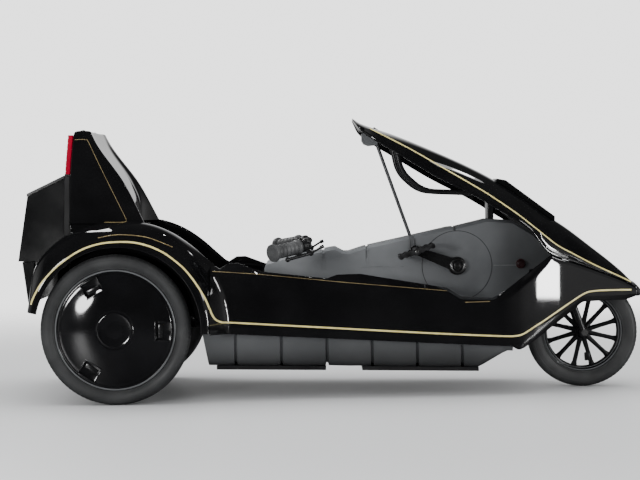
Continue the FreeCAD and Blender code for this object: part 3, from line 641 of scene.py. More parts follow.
def range_group(name: str, scale: float, low: float, high: float, detail: float) -> bpy.types.NodeTree:
    """Builds a group that spreads noise between two values; its inputs are Scale, Low and High.

    Args:
        name: The group's name.
        scale: Default of Scale.
        low: Default of Low.
        high: Default of High.
        detail: How fine the noise is.

    Returns:
        The new group.
    """
    group = new_group(name, {"Scale": scale, "Low": low, "High": high}, {"Value": "NodeSocketFloat"})
    fit = ramp(group, noise_of(group, detail), NOISE_SPAN, (0.0, 1.0)).node
    source = group.nodes["Group Input"].outputs
    group.links.new(source["Low"], fit.inputs["To Min"])
    group.links.new(source["High"], fit.inputs["To Max"])
    group.links.new(fit.outputs["Result"], group.nodes["Group Output"].inputs["Value"])
    return group


def build_effects() -> dict[Effect, bpy.types.NodeTree]:
    """Builds every shared effect once.

    Returns:
        The group of each effect.
    """
    return {
        Effect.WAVE: bump_group(Effect.WAVE.value, 3.0, 0.2, 1.0),
        Effect.SMUDGE: range_group(Effect.SMUDGE.value, 6.0, 0.05, 0.14, 4.0),
        Effect.GRAIN: bump_group(Effect.GRAIN.value, 900.0, 0.3, 2.0),
        Effect.TONE: range_group(Effect.TONE.value, 9.0, 0.0, 1.0, 5.0),
    }


EFFECTS = build_effects()


@dataclass(frozen=True)
class Finish:
    """One surface finish, as a Principled BSDF fed by the shared effects."""

    name: str
    slot: str
    color: tuple[float, float, float]
    worn: tuple[float, float, float]
    roughness: tuple[float, float]
    tone_scale: float = 9.0
    metallic: float = 0.0
    coat: float = 0.0
    bump: Effect = Effect.GRAIN
    bump_scale: float = 900.0
    bump_strength: float = 0.2
    bump_distance: float = 0.0004
    transmission: float = 0.0
    glow: float = 0.0
    # axis, span in millimetres, brightness at both its ends: light and shade painted along a moulding
    shades: tuple[tuple[str, Flat, Flat], ...] = ()

    def build(self) -> bpy.types.Material:
        """Makes the material once.

        Returns:
            The material, the one that is there if it has been made before.
        """
        found = bpy.data.materials.get(self.name)
        if found:
            return found
        material = bpy.data.materials.new(self.name)
        material.use_nodes = True
        tree = material.node_tree
        shader = tree.nodes["Principled BSDF"]
        shader.inputs["Metallic"].default_value = self.metallic
        shader.inputs["Coat Weight"].default_value = self.coat
        shader.inputs["Transmission Weight"].default_value = self.transmission
        if self.glow:
            shader.inputs["Emission Color"].default_value = (*self.color, 1)
            shader.inputs["Emission Strength"].default_value = self.glow
        tone = self._effect(tree, Effect.TONE, Scale=self.tone_scale)
        color = self._shaded(tree, blended(tree, tone, self.color, self.worn))
        tree.links.new(color, shader.inputs["Base Color"])
        low, high = self.roughness
        tree.links.new(self._effect(tree, Effect.SMUDGE, Low=low, High=high), shader.inputs["Roughness"])
        bump = self._effect(tree, self.bump, Scale=self.bump_scale, Strength=self.bump_strength,
                            Distance=self.bump_distance)
        tree.links.new(bump, shader.inputs["Normal"])
        return material

    def _shaded(self, tree: bpy.types.NodeTree, color: bpy.types.NodeSocket) -> bpy.types.NodeSocket:
        """Paints light and shade into a colour: darkens or lightens it along the axes that the finish names.

        Args:
            tree: The material's nodes.
            color: The colour.

        Returns:
            The shaded colour, the same one if the finish names no axis.
        """
        if not self.shades:
            return color
        place = tree.nodes.new("ShaderNodeTexCoord")
        split = tree.nodes.new("ShaderNodeSeparateXYZ")
        tree.links.new(place.outputs["Object"], split.inputs["Vector"])
        for axis, (start, end), levels in self.shades:
            level = ramp(tree, split.outputs[axis], (start * MM, end * MM), levels, "SMOOTHSTEP")
            scale = tree.nodes.new("ShaderNodeVectorMath")
            scale.operation = "SCALE"
            tree.links.new(color, scale.inputs[0])
            tree.links.new(level, scale.inputs["Scale"])
            color = scale.outputs["Vector"]
        return color

    def _effect(self, tree: bpy.types.NodeTree, effect: Effect, **values: float) -> bpy.types.NodeSocket:
        """Places a shared effect in this material.

        Args:
            tree: The material's nodes.
            effect: The effect.
            **values: The effect's own values here.

        Returns:
            What the effect puts out.
        """
        node = tree.nodes.new("ShaderNodeGroup")
        node.node_tree = EFFECTS[effect]
        for label, value in values.items():
            node.inputs[label].default_value = value
        return node.outputs[0]

    def dress(self, piece: bpy.types.Object, body: str = "") -> bpy.types.Object:
        """Puts the finish on a piece and, with a body, lets the piece ride on it.

        Args:
            piece: The piece, or a CAD node's object.
            body: The body's name, empty for a CAD node.

        Returns:
            The same piece.
        """
        piece.data.materials.clear()
        piece.data.materials.append(self.build())
        if body:
            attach(piece, body)
            LOG.info("%s rides on %s in %s", piece.name, body, self.name)
        return piece


BODY = Finish(
    "black_body_gloss", "body_black", (0.0030, 0.0030, 0.0034), (0.0055, 0.0055, 0.006), (0.02, 0.055),
    bump=Effect.WAVE, bump_scale=2.2, bump_strength=0.22, bump_distance=0.004, coat=0.25)
BOOT_BLACK = Finish(
    "black_boot_satin", "body_black", (0.0032, 0.0033, 0.0036), (0.006, 0.0062, 0.0066), (0.09, 0.2),
    bump=Effect.WAVE, bump_scale=4.0, bump_strength=0.25, bump_distance=0.003)
COVER = Finish(
    "black_wheel_cover", "cover_black", (0.0030, 0.0030, 0.0034), (0.007, 0.007, 0.008), (0.05, 0.13),
    bump=Effect.WAVE, bump_scale=7.0, bump_strength=0.3, bump_distance=0.003, coat=0.2)
# The raised mould lines are the shell's own grey plastic; their lighter colour is painted highlight.
HIGHLIT_SEAM = Finish(
    "grey_mould_line", "shell_grey", (0.22, 0.23, 0.24), (0.12, 0.125, 0.13), (0.3, 0.45),
    tone_scale=30.0, bump_strength=0.1)
COVER_TRIM = Finish(
    "black_cover_trim", "cover_black", (0.006, 0.006, 0.0065), (0.013, 0.013, 0.014), (0.12, 0.24),
    bump_scale=600.0, bump_strength=0.08)
SHELL = Finish(
    "grey_moulded_shell", "shell_grey", (0.082, 0.087, 0.092), (0.150, 0.157, 0.164), (0.34, 0.52),
    tone_scale=4.0, bump_scale=1100.0, bump_strength=0.25)
# Painted shade and highlight: the tray is darker towards the floor, where it tucks under in shadow, and
# lighter at the front, where its last panels catch the light.
TRAY = Finish(
    "grey_moulded_tray", "shell_grey", (0.075, 0.079, 0.084), (0.105, 0.110, 0.115), (0.34, 0.52),
    tone_scale=5.0, bump_scale=1100.0, bump_strength=0.25,
    shades=(("Z", (84.0, 168.0), (0.20, 0.92)), ("X", (300.0, 430.0), (1.0, 1.4))))
# Lighter towards the rear, and darker at the front with painted shade where the pod covers the tunnel.
TUNNEL = Finish(
    "grey_moulded_tunnel", "shell_grey", (0.085, 0.090, 0.095), (0.155, 0.162, 0.169), (0.32, 0.5),
    tone_scale=4.0, bump_scale=1100.0, bump_strength=0.25,
    shades=(("X", (120.0, 300.0), (1.75, 1.35)), ("X", (400.0, 500.0), (1.0, 0.5))))
RUBBER_BLACK = Finish(
    "black_joint_line", "shell_grey", (0.010, 0.010, 0.011), (0.020, 0.020, 0.021), (0.5, 0.7),
    bump_strength=0.1)
DARK_STEEL = Finish(
    "black_painted_steel", "steel_dark", (0.008, 0.008, 0.009), (0.018, 0.018, 0.019), (0.22, 0.4),
    bump_scale=500.0, bump_strength=0.12)
SPOKE_BLACK = Finish(
    "black_cast_wheel", "steel_dark", (0.004, 0.004, 0.0045), (0.009, 0.009, 0.010), (0.22, 0.36),
    bump_scale=420.0, bump_strength=0.1)
CRANK_BLACK = Finish(
    "black_crank", "steel_dark", (0.004, 0.004, 0.0045), (0.010, 0.010, 0.011), (0.16, 0.32),
    bump_scale=420.0, bump_strength=0.1)
LEVER_BLACK = Finish(
    "black_lever", "steel_dark", (0.006, 0.006, 0.0065), (0.014, 0.014, 0.015), (0.2, 0.35),
    bump_scale=420.0, bump_strength=0.08)
SATIN_STEEL = Finish(
    "satin_steel_ring", "steel_dark", (0.16, 0.16, 0.16), (0.07, 0.07, 0.07), (0.22, 0.4),
    metallic=1.0, bump_scale=500.0, bump_strength=0.1)
CAGE_STEEL = Finish(
    "worn_cage_steel", "steel_dark", (0.055, 0.055, 0.057), (0.009, 0.009, 0.0095), (0.3, 0.5),
    tone_scale=60.0, metallic=0.6, bump_scale=500.0, bump_strength=0.2)
BRIGHT_STEEL = Finish(
    "bright_steel", "steel_bright", (0.58, 0.58, 0.57), (0.40, 0.39, 0.38), (0.18, 0.36),
    metallic=1.0, bump_scale=700.0, bump_strength=0.1)
ALLOY = Finish(
    "dull_alloy", "alloy", (0.30, 0.30, 0.30), (0.18, 0.18, 0.18), (0.3, 0.5),
    metallic=1.0, bump_scale=400.0, bump_strength=0.15)
TYRE = Finish(
    "tyre_rubber_dusty", "tyre_rubber", (0.019, 0.020, 0.021), (0.040, 0.041, 0.042), (0.5, 0.75),
    tone_scale=14.0, bump_scale=1400.0, bump_strength=0.35)
GRIP = Finish(
    "grip_rubber_grey", "grip_rubber", (0.045, 0.046, 0.048), (0.085, 0.087, 0.089), (0.38, 0.6),
    tone_scale=30.0, bump_scale=1500.0, bump_strength=0.3)
# The red lens glows faintly: painted light standing for light coming through it.
RED_LENS = Finish(
    "red_tail_lens", "lens_red", (0.36, 0.002, 0.022), (0.24, 0.001, 0.014), (0.05, 0.12),
    coat=0.5, bump=Effect.WAVE, bump_scale=30.0, bump_strength=0.2, glow=0.12)
CLEAR_LENS = Finish(
    "clear_lamp_lens", "lens_clear", (0.86, 0.88, 0.9), (0.8, 0.82, 0.84), (0.03, 0.08),
    bump=Effect.WAVE, bump_scale=20.0, bump_strength=0.1, transmission=0.85)
KNOB_RED = Finish(
    "dark_red_knob", "knob_red", (0.030, 0.006, 0.007), (0.014, 0.003, 0.004), (0.3, 0.45),
    tone_scale=40.0)
CELL = Finish("battery_case", "cell_grey", (0.03, 0.03, 0.032), (0.05, 0.05, 0.052), (0.45, 0.65))
LINE = Finish(
    "cream_coachline", "body_black", (0.86, 0.76, 0.32), (0.66, 0.55, 0.20), (0.25, 0.42),
    tone_scale=40.0, bump_strength=0.05)
FINE_LINE = Finish(
    "gold_fine_line", "body_black", (0.30, 0.23, 0.10), (0.14, 0.10, 0.045), (0.3, 0.5),
    tone_scale=55.0, bump_strength=0.05)
SEAL = Finish("grey_seal", "grip_rubber", (0.009, 0.009, 0.0095), (0.016, 0.016, 0.017), (0.5, 0.7))
# Light grey on the rims' raised lips: painted highlight along their edges.
RIM_HIGHLIGHT = Finish(
    "grey_rim_lip", "steel_dark", (0.11, 0.115, 0.12), (0.07, 0.073, 0.076), (0.25, 0.42),
    bump_scale=500.0, bump_strength=0.08)
ROD_GREY = Finish(
    "grey_stay_rod", "steel_dark", (0.035, 0.037, 0.040), (0.065, 0.068, 0.072), (0.22, 0.38),
    bump_scale=500.0, bump_strength=0.08)

# Finish of every material slot, and the nodes that have another one
SLOT_FINISH = {
    "body_black": BODY, "cover_black": COVER, "shell_grey": SHELL, "steel_dark": DARK_STEEL,
    "steel_bright": BRIGHT_STEEL, "alloy": ALLOY, "tyre_rubber": TYRE, "grip_rubber": GRIP,
    "lens_red": RED_LENS, "lens_clear": CLEAR_LENS, "knob_red": KNOB_RED, "cell_grey": CELL,
}
NODE_FINISH = {
    "boot_box": BOOT_BLACK, "boot_lid": BOOT_BLACK, "rear_flap": BOOT_BLACK, "boot_seal": SEAL,
    "stay_rod": ROD_GREY, "lamp_housing": BOOT_BLACK,
}


# -------------------- black body
# Half width of the black body in plan: x, half
PLAN: Table = (
    (-560, 320), (-368, 305), (-221, 290), (63, 262), (342, 240), (434, 229), (499, 216), (536, 204),
    (593, 182.5), (625, 170), (660, 155.3), (717, 131.2), (813, 92), (848, 76), (872, 46),
)
# Inner face of the sill and of the nose wall: x, y
INNER: Table = (
    (-345, 240.3), (-216, 240.3), (-190, 250.0), (63, 224), (342, 202), (425, 192.5), (438, 194),
    (466, 211), (499, 206), (536, 194), (593, 172.5), (660, 145.3), (717, 121.2), (813, 82), (848, 66),
)
# Upper edges of the sill and of the nose wall: x, z of the outer edge, z of the inner edge, the edge's width
CREST: Table = (
    (-345, 359, 374, 6), (-322, 354, 361, 6), (-300, 350, 376, 6), (-272, 347, 377, 6), (-212, 340, 354, 6),
    (-29, 320, 332, 6), (-2, 318, 342, 6), (63, 310, 343, 6), (301, 291, 301, 6), (342, 267, 276, 6),
    (428, 265.5, 270.5, 6), (446, 268, 280, 8), (499, 300, 319, 9), (536, 327, 345.5, 9),
    (580, 368, 377, 6), (593, 384, 386.3, 3),
)
# Sections of the pod: x, z of the crown, of the shoulder and of the rim, half width
POD: Table = (
    (49, 777, 773, 769, 60), (69, 763, 747, 737, 160), (101, 750, 738, 712, 184), (164, 729, 706, 674, 195),
    (281, 681, 635, 603, 206), (397, 627, 566, 542, 212), (469, 587, 521, 498, 213),
    (532, 546, 474, 456, 204), (593, 502, 425, 387, 182.5), (660, 457, 384, 364, 155.3),
    (717, 413, 354, 344, 131.2), (813, 335, 313, 307, 92), (848, 299, 291, 287, 76),
)
# Lower edge of the nose wall: x, z
NOSE_LOW: Table = (
    (434, 139), (477, 136), (499, 126), (536, 144), (593, 184), (660, 230), (693, 252), (813, 253),
    (848, 262),
)
SILL_END = 434.0
POD_MEETS_NOSE = 593.0
# Two points, x, z, of the straight seam between the grey lower shell and the black body
SEAM_REAR: Flat = (-368.0, 189.0)
SEAM_FRONT: Flat = (477.0, 136.0)


def seam_z(x: float) -> float:
    """Height of the seam between the grey lower shell and the black body."""
    share = (x - SEAM_REAR[0]) / (SEAM_FRONT[0] - SEAM_REAR[0])
    return SEAM_REAR[1] + share * (SEAM_FRONT[1] - SEAM_REAR[1])


@dataclass
class UpperBody:
    """Sills, nose walls and blunt tip as one moulding."""

    step: float = 6.0
    flare_step: float = 2.0
    flare_front: float = -279.0
    # extra sections this far from the end of the sill
    sill_end_steps: tuple[float, ...] = (-9, -3, 3, 9, 15)
    face_runs: int = 10
    # rounding of the foot, the outer face, the crest and the inner face
    foot_radii: tuple[float, ...] = (3, 8)
    face_radius: float = 6
    crest_radii: tuple[float, ...] = (5, 5, 6, 5, 1)
    # distances from the wheel arch's centre where the flare is gone, and where it turns into a straight slope
    flare_end: float = 302.0
    flare_turn: float = 276.0
    flare_curve: float = 0.0306
    flare_out: float = 19.9
    flare_slope: float = 1.59
    fender_y: float = 370.9
    pod_gap: float = 0.4
    tip_step: float = 2.0
    tip_low: float = 262.0
    tip_top: float = 287.0
    tip_drop: float = 15.0
    tip_round: float = 1.8

    def build(self) -> bpy.types.Object:
        """Builds the moulding, which stands for both sills and the nose.

        Returns:
            The new skin.
        """
        piece = merge("upper_body_skin", [*(self._flank(side) for side in Side), self._tip()])
        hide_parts("sill_left", "sill_right", "nose_shell")
        return BODY.dress(piece, "chassis")

    def _flank(self, side: Side) -> bpy.types.Object:
        """Builds the sill and the nose wall of one side.

        Args:
            side: The side.

        Returns:
            The new piece.
        """
        rear = CREST[0][0]
        places = {SILL_END + d for d in self.sill_end_steps} | set(spread(rear, POD[-1][0], self.step))
        places |= set(spread(rear, self.flare_front, self.flare_step))
        radii = (*self.foot_radii, *[self.face_radius] * self.face_runs, *self.crest_radii)
        rings = [[(x, y * side.value, z) for y, z in rounded(self._corners(x), radii, 3)]
                 for x in sorted(places)]
        return loft(f"flank_{side.word}", rings, sharp=50)

    def _flare(self, x: float, z: float) -> float:
        """Finds how far the outer face swells out towards the rear fender, round the wheel opening.

        Args:
            x: Place along the car.
            z: Height on the face.

        Returns:
            The swelling, no more than brings the face out to the fender.
        """
        reach = math.hypot(x - WHEEL_ARCH[0], max(0.0, z - WHEEL_ARCH[1]))
        if reach >= self.flare_end:
            return 0.0
        if reach > self.flare_turn:
            return self.flare_curve * (self.flare_end - reach) ** 2
        return min(self.flare_out + self.flare_slope * (self.flare_turn - reach),
                   self.fender_y - glide(PLAN, x, 1))

    def _corners(self, x: float) -> list[Flat]:
        """Finds the corners of the left flank's section, from its outer foot round over its crest.

        Args:
            x: Place along the car.

        Returns:
            The corners, as y, z.
        """
        outer = glide(PLAN, x, 1)
        inner = glide(INNER, x, 1)
        if x < POD_MEETS_NOSE:
            edge, top, width = (straight(CREST, x, k) for k in (1, 2, 3))
        else:
            top = glide(POD, x, 3) - self.pod_gap
            edge, width = top - 1.5, 2.0
        low = seam_z(x) if x <= SILL_END else glide(NOSE_LOW, x, 1)
        foot = min(12.0, (edge - low) * 0.3)
        width = min(width, (outer - inner) * 0.5)
        run = edge - 11 - low - foot
        face = []
        for i in range(self.face_runs):
            z = low + foot + run * i / (self.face_runs - 1)
            face.append((outer + self._flare(x, z), z))
        face.append((outer + self._flare(x, edge - 7) - 0.8, edge - 7))
        return [(outer - 3 + self._flare(x, low), low), *face, (outer - width + self._flare(x, edge), edge),
                (inner + 3, top), (inner, top - 5), (inner, low)]

    def _tip(self) -> bpy.types.Object:
        """Builds the blunt tip that joins the two walls.

        Returns:
            The new piece.
        """
        start, end = POD[-1][0], PLAN[-1][0]
        half_start, half_end = POD[-1][4], PLAN[-1][1]
        rings = []
        for x in spread(start - 4, end, self.tip_step):
            share = max(0.0, (x - start) / (end - start))
            half = half_start - (half_start - half_end) * share**1.8
            top = self.tip_top - self.tip_drop * share**1.4
            low = self.tip_low + 3.0 * share**3
            rise = (POD[-1][1] - POD[-1][3]) * (1 - share) + 3.0
            bevel = self.tip_round
            crest = [(half * math.cos(a), top + rise * math.sin(a))
                     for a in spread(0.12, math.pi - 0.12, 0.15)]
            ring = [(-half + 6, low), (half - 6, low), (half - bevel, low + bevel), (half, low + 6), *crest,
                    (-half, low + 6), (-half + bevel, low + bevel)]
            rings.append([(x, y, z) for y, z in ring])
        return loft("nose_tip", rings, sharp=45)


@dataclass
class Fender:
    """Hood over one rear wheel, in sections that fan out round a point ahead of the axle."""

    side: Side
    step: float = 2.5
    outer_y: float = 371.4
    shoulder_y: float = 330.0
    inner_y: float = 240.3
    open_r: float = 222.0
    edge_r: float = 238.0
    skin: float = 12.0
    rolled: float = 8.0
    radii: tuple[float, ...] = (2.5, 36, 24, 36, 22, 2, 1, 20, 6, 2.5)
    # how much further out than a straight shoulder its four points lie where it is full
    swell: tuple[float, ...] = (3, 16, 22, 8)
    # degrees ahead of the top: where the shoulder starts to straighten towards each end, and over how far
    straight_ahead: Flat = (30.0, 48.0)
    straight_behind: Flat = (-44.0, 32.0)
    # degrees ahead of the top, radius at the shoulder, radius at the inner edge
    fan: Table = (
        (-78, 254, 257), (-62, 256, 281), (-53, 257, 293), (-33, 258, 296), (-15, 258, 293), (4, 258, 292),
        (20, 258, 293), (35, 259, 293), (48, 261, 296), (60, 264, 308), (72, 267, 318), (84, 269, 326),
        (92.8, 270, 330),
    )

    def build(self) -> bpy.types.Object:
        """Builds the hood with its rounded, rolled edge.

        Returns:
            The new skin.
        """
        cx, cz = WHEEL_ARCH
        rings = []
        for degrees in spread(self.fan[0][0], self.fan[-1][0], self.step):
            angle = math.radians(degrees)
            rings.append([(cx + r * math.sin(angle), y * self.side.value, cz + r * math.cos(angle))
                          for y, r in rounded(self._outline(degrees), self.radii, 6)])
        piece = loft(f"fender_skin_{self.side.word}", rings, sharp=50)
        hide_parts(f"fender_{self.side.word}")
        return BODY.dress(piece, "chassis")

    def _outline(self, degrees: float) -> list[Flat]:
        """Finds the corners of one section.

        Args:
            degrees: How far ahead of the top the section lies.

        Returns:
            The corners, as y and distance from the centre.
        """
        shoulder, top = glide(self.fan, degrees, 1), glide(self.fan, degrees, 2)
        edge = self.edge_r + 5
        fat = self._fullness(degrees)
        low, middle, high, last = (swell * fat for swell in self.swell)
        lip = self.outer_y - self.rolled
        return [
            (self.outer_y, self.open_r), (self.outer_y, edge + low),
            (350, edge + (shoulder - edge) * 22 / 42 + middle),
            (312, shoulder + (top - shoulder) * 0.2 + high),
            (262, shoulder + (top - shoulder) * 0.756 + last), (self.inner_y, top),
            (self.inner_y, top - self.skin), (self.shoulder_y, shoulder - self.skin),
            (lip, self.edge_r), (lip, self.open_r),
        ]

    def _fullness(self, degrees: float) -> float:
        """Finds how round the shoulder is: full over the wheel, straight where the hood runs into the sill.

        Args:
            degrees: How far ahead of the top the section lies.

        Returns:
            1 for full, 0 for straight.
        """
        ahead, behind = self.straight_ahead, self.straight_behind
        share = min(1.0, max(0.0, (degrees - ahead[0]) / ahead[1], (behind[0] - degrees) / behind[1]))
        return 1.0 - share * share * (3 - 2 * share)


@dataclass
class Pod:
    """The long cover over the pedals."""

    wall: float = 8.0
    step: float = 6.0
    rear_step: float = 2.0
    rear_end: float = 101.0
    crown_sunk: float = 0.2
    arch_runs: int = 30
    bead: float = 9.0
    catch_at: Flat = (114.0, 745.0)

    def build(self) -> bpy.types.Object:
        """Builds the pod's skin, with a bead along its rim and a small catch on its top.

        Returns:
            The new skin.
        """
        rear = POD[0][0]
        places = set(spread(rear, POD[-1][0], self.step)) | set(spread(rear, self.rear_end, self.rear_step))
        piece = loft("pod_skin", [self._ring(x) for x in sorted(places)], sharp=50)
        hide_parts("nose_pod")
        BODY.dress(piece, "chassis")
        self._catch()
        return piece

    def _ring(self, x: float) -> list[Spot]:
        """Finds a closed section: the outer arch, both rims and the inner arch.

        Args:
            x: Place along the car.

        Returns:
            The section's points.
        """
        crown, shoulder, rim, half = (glide(POD, x, k) for k in (1, 2, 3, 4))
        crown -= self.crown_sunk
        height = shoulder - rim
        wall = min(self.wall, height * 0.7)
        size = wall / self.wall
        bead = min(self.bead, height * 0.45)
        outer = self._arch(half - 0.4, shoulder, crown)
        inner = self._arch(half - wall, shoulder - wall, crown - wall)
        band = [
            (half - 1.4 * size, rim + bead * 1.6), (half - 1.9 * size, rim + bead * 1.15),
            (half - 0.6 * size, rim + bead), (half, rim + bead * 0.7), (half, rim + bead * 0.3),
            (half - 0.9 * size, rim + 0.5 * size), (half - 2.4 * size, rim), (half - 5.5 * size, rim),
            (half - wall, rim + 1.5 * size),
        ]
        ring = outer + mirrored(band, -1) + inner[::-1] + band[::-1]
        return [(x, y, z) for y, z in ring]

    def _arch(self, half: float, foot: float, crown: float) -> list[Flat]:
        """Draws an arc from the left foot over the crown to the right foot.

        Args:
            half: Half the distance between the feet.
            foot: Height of the feet.
            crown: Height of the arc's top.

        Returns:
            The arc's points, as y, z.
        """
        rise = crown - foot
        radius = (half**2 + rise**2) / (2 * rise)
        reach = math.asin(min(1.0, half / radius))
        if rise > radius:
            reach = math.pi - reach
        centre = crown - radius
        angles = [reach - 2 * reach * i / self.arch_runs for i in range(self.arch_runs + 1)]
        return [(radius * math.sin(a), centre + radius * math.cos(a)) for a in angles]

    def _catch(self) -> None:
        """Adds a small rounded catch on the pod's crown, near its rear lip."""
        x, z = self.catch_at
        outline = [(x - 11, z - 6), (x - 9, z + 2.5), (x - 3, z + 5), (x + 6, z + 1), (x + 13, z - 6)]
        base = slab("catch_base", outline, -16, 16, 2.0)
        profile = [(-13, TINY_R), (-13, 3), (13, 3), (13, TINY_R)]
        pin = turned("catch_pin", profile, (x - 2, 0, z + 2.5), steps=24)
        DARK_STEEL.dress(merge("pod_catch", [base, pin]), "chassis")


@dataclass
class SeatTower:
    """Tall back of the seat: leaning sides, a shallow hollow and a rounded crown."""

    rear_x: float = -735.0
    foot_z: float = 488.3
    step: float = 6.0
    # height above the foot, rear and front face from rear_x, half width, rounding of the front edge
    rows: Table = (
        (0, 0, 206, 240, 14), (108, 1, 151, 215, 12), (221, 7, 71, 190, 11), (246, 9, 58, 181, 11),
    )
    # height above the foot, back of the hollow from rear_x, half width of the hollow
    hollow: Table = ((0, 158, 210), (50, 157, 200), (108, 137, 188), (216, 68.5, 165), (246, 55.5, 156))
    # least width of the front face beside the hollow; width of the hollow's sides at the top, and what they
    # gain down to the foot
    front_least: float = 20.0
    slope_top: float = 34.0
    slope_gain: float = 20.0
    crown: float = 10.0
    # share of the crown's height, how far the section has drawn in
    crown_runs: Table = ((0.0, 0.0), (0.35, 0.9), (0.65, 2.6), (0.85, 5.0), (0.96, 8.0), (1.0, 12.0))

    def build(self) -> bpy.types.Object:
        """Builds the tower in rounded sections.

        Returns:
            The new skin.
        """
        top = self.rows[-1][0]
        rings = [self._ring(h, 0.0) for h in spread(0.0, top, self.step)]
        for share, inset in self.crown_runs[1:]:
            rings.append(self._ring(top, inset, self.crown * share))
        piece = loft("seat_tower_skin", rings, sharp=45)
        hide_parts("seat_tower")
        return BODY.dress(piece, "chassis")

    def _ring(self, height: float, inset: float, lift: float = 0.0) -> list[Spot]:
        """Finds the section at a height.

        Args:
            height: Height above the foot, for the tables.
            inset: How far the section is drawn in.
            lift: How far it is raised.

        Returns:
            The section's points.
        """
        front, half, edge = (glide(self.rows, height, k) for k in (2, 3, 4))
        back, room = (glide(self.hollow, height, k) for k in (1, 2))
        slope = self.slope_top + self.slope_gain * (1 - height / self.rows[-1][0])
        rear = self.rear_x + glide(self.rows, height, 1) + inset * 0.8
        front = self.rear_x + front - inset
        back = min(self.rear_x + back, front - 0.4) - inset
        half -= inset
        room = min(room, half - self.front_least)
        corners = [(rear, half), (front, half), (front, room), (back, room - slope), (back, slope - room),
                   (front, -room), (front, -half), (rear, -half)]
        ring = rounded(corners, (4, edge, 24, 30, 30, 24, edge, 4), 6)
        z = self.foot_z + height + lift
        return [(x, y, z) for x, y in ring]


# -------------------- grey shells
@dataclass
class LowerShell:
    """Grey tray with rounded panels between its grooves."""

    first_groove: float = -281.0
    pitch: float = 125.0
    grooves: int = 6
    groove_depth: float = 8.0
    groove_half: float = 4.5
    pillow: float = 1.6
    inset: float = 36.0
    wall: float = 9.0
    rear_x: float = -372.0
    rear_lean: float = 18.0
    lean_run: float = 60.0
    front_x: float = 486.0
    step: float = 14.0
    # extra sections at each groove, in shares of its half width
    groove_places: tuple[float, ...] = (-1.8, -1.1, -1, -0.75, -0.4, 0, 0.4, 0.75, 1, 1.1, 1.8)
    low: Table = ((-372, 97), (391, 77), (486, 130))

    def build(self) -> bpy.types.Object:
        """Builds the tray with its open inside.

        Returns:
            The new skin.
        """
        places = set(spread(self.rear_x, self.front_x, self.step))
        for i in range(self.grooves):
            middle = self.first_groove + i * self.pitch
            places |= {middle + d * self.groove_half for d in self.groove_places}
        piece = loft("lower_shell_skin", [self._ring(x) for x in sorted(places)], sharp=40)
        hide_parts("lower_shell")
        return TRAY.dress(piece, "chassis")

    def _dip(self, x: float) -> float:
        """Finds how far the skin is drawn in: deep in a groove and softly towards a panel's ends.

        Args:
            x: Place along the car.

        Returns:
            The depth.
        """
        nearest = min(abs(x - self.first_groove - i * self.pitch) for i in range(-1, self.grooves + 1))
        soft = self.pillow * (2 * min(nearest, self.pitch / 2) / self.pitch - 1) ** 2
        rear = self.first_groove - self.pitch * 0.6
        front = self.first_groove + (self.grooves - 0.4) * self.pitch
        if x < rear or x > front:
            soft = 0.0
        real = min(abs(x - self.first_groove - i * self.pitch) for i in range(self.grooves))
        share = min(1.0, real / self.groove_half)
        return soft + self.groove_depth * (1 - share**2)

    def _ring(self, x: float) -> list[Spot]:
        """Finds a section, whose foot leans forward at the rear end.

        Args:
            x: Place along the car.

        Returns:
            The section's points.
        """
        dip = self._dip(x)
        half = glide(PLAN, x, 1) - self.inset - dip
        top = seam_z(x) - 0.3
        low = min(straight(self.low, x) + dip, top - 16)
        inner = glide(PLAN, x, 1) - self.inset - self.wall - 2
        floor = min(straight(self.low, x) + self.wall + 1, top - 5)
        corners = [(half, top), (half, low), (-half, low), (-half, top), (-inner, top), (-inner, floor),
                   (inner, floor), (inner, top)]
        ring = rounded(corners, (1, 20, 20, 1, 1, 9, 9, 1), 6)
        lean = self.rear_lean * max(0.0, 1 - (x - self.rear_x) / self.lean_run)
        return [(x + lean * min(1.0, (top - z) / (top - low)), y, z) for y, z in ring]


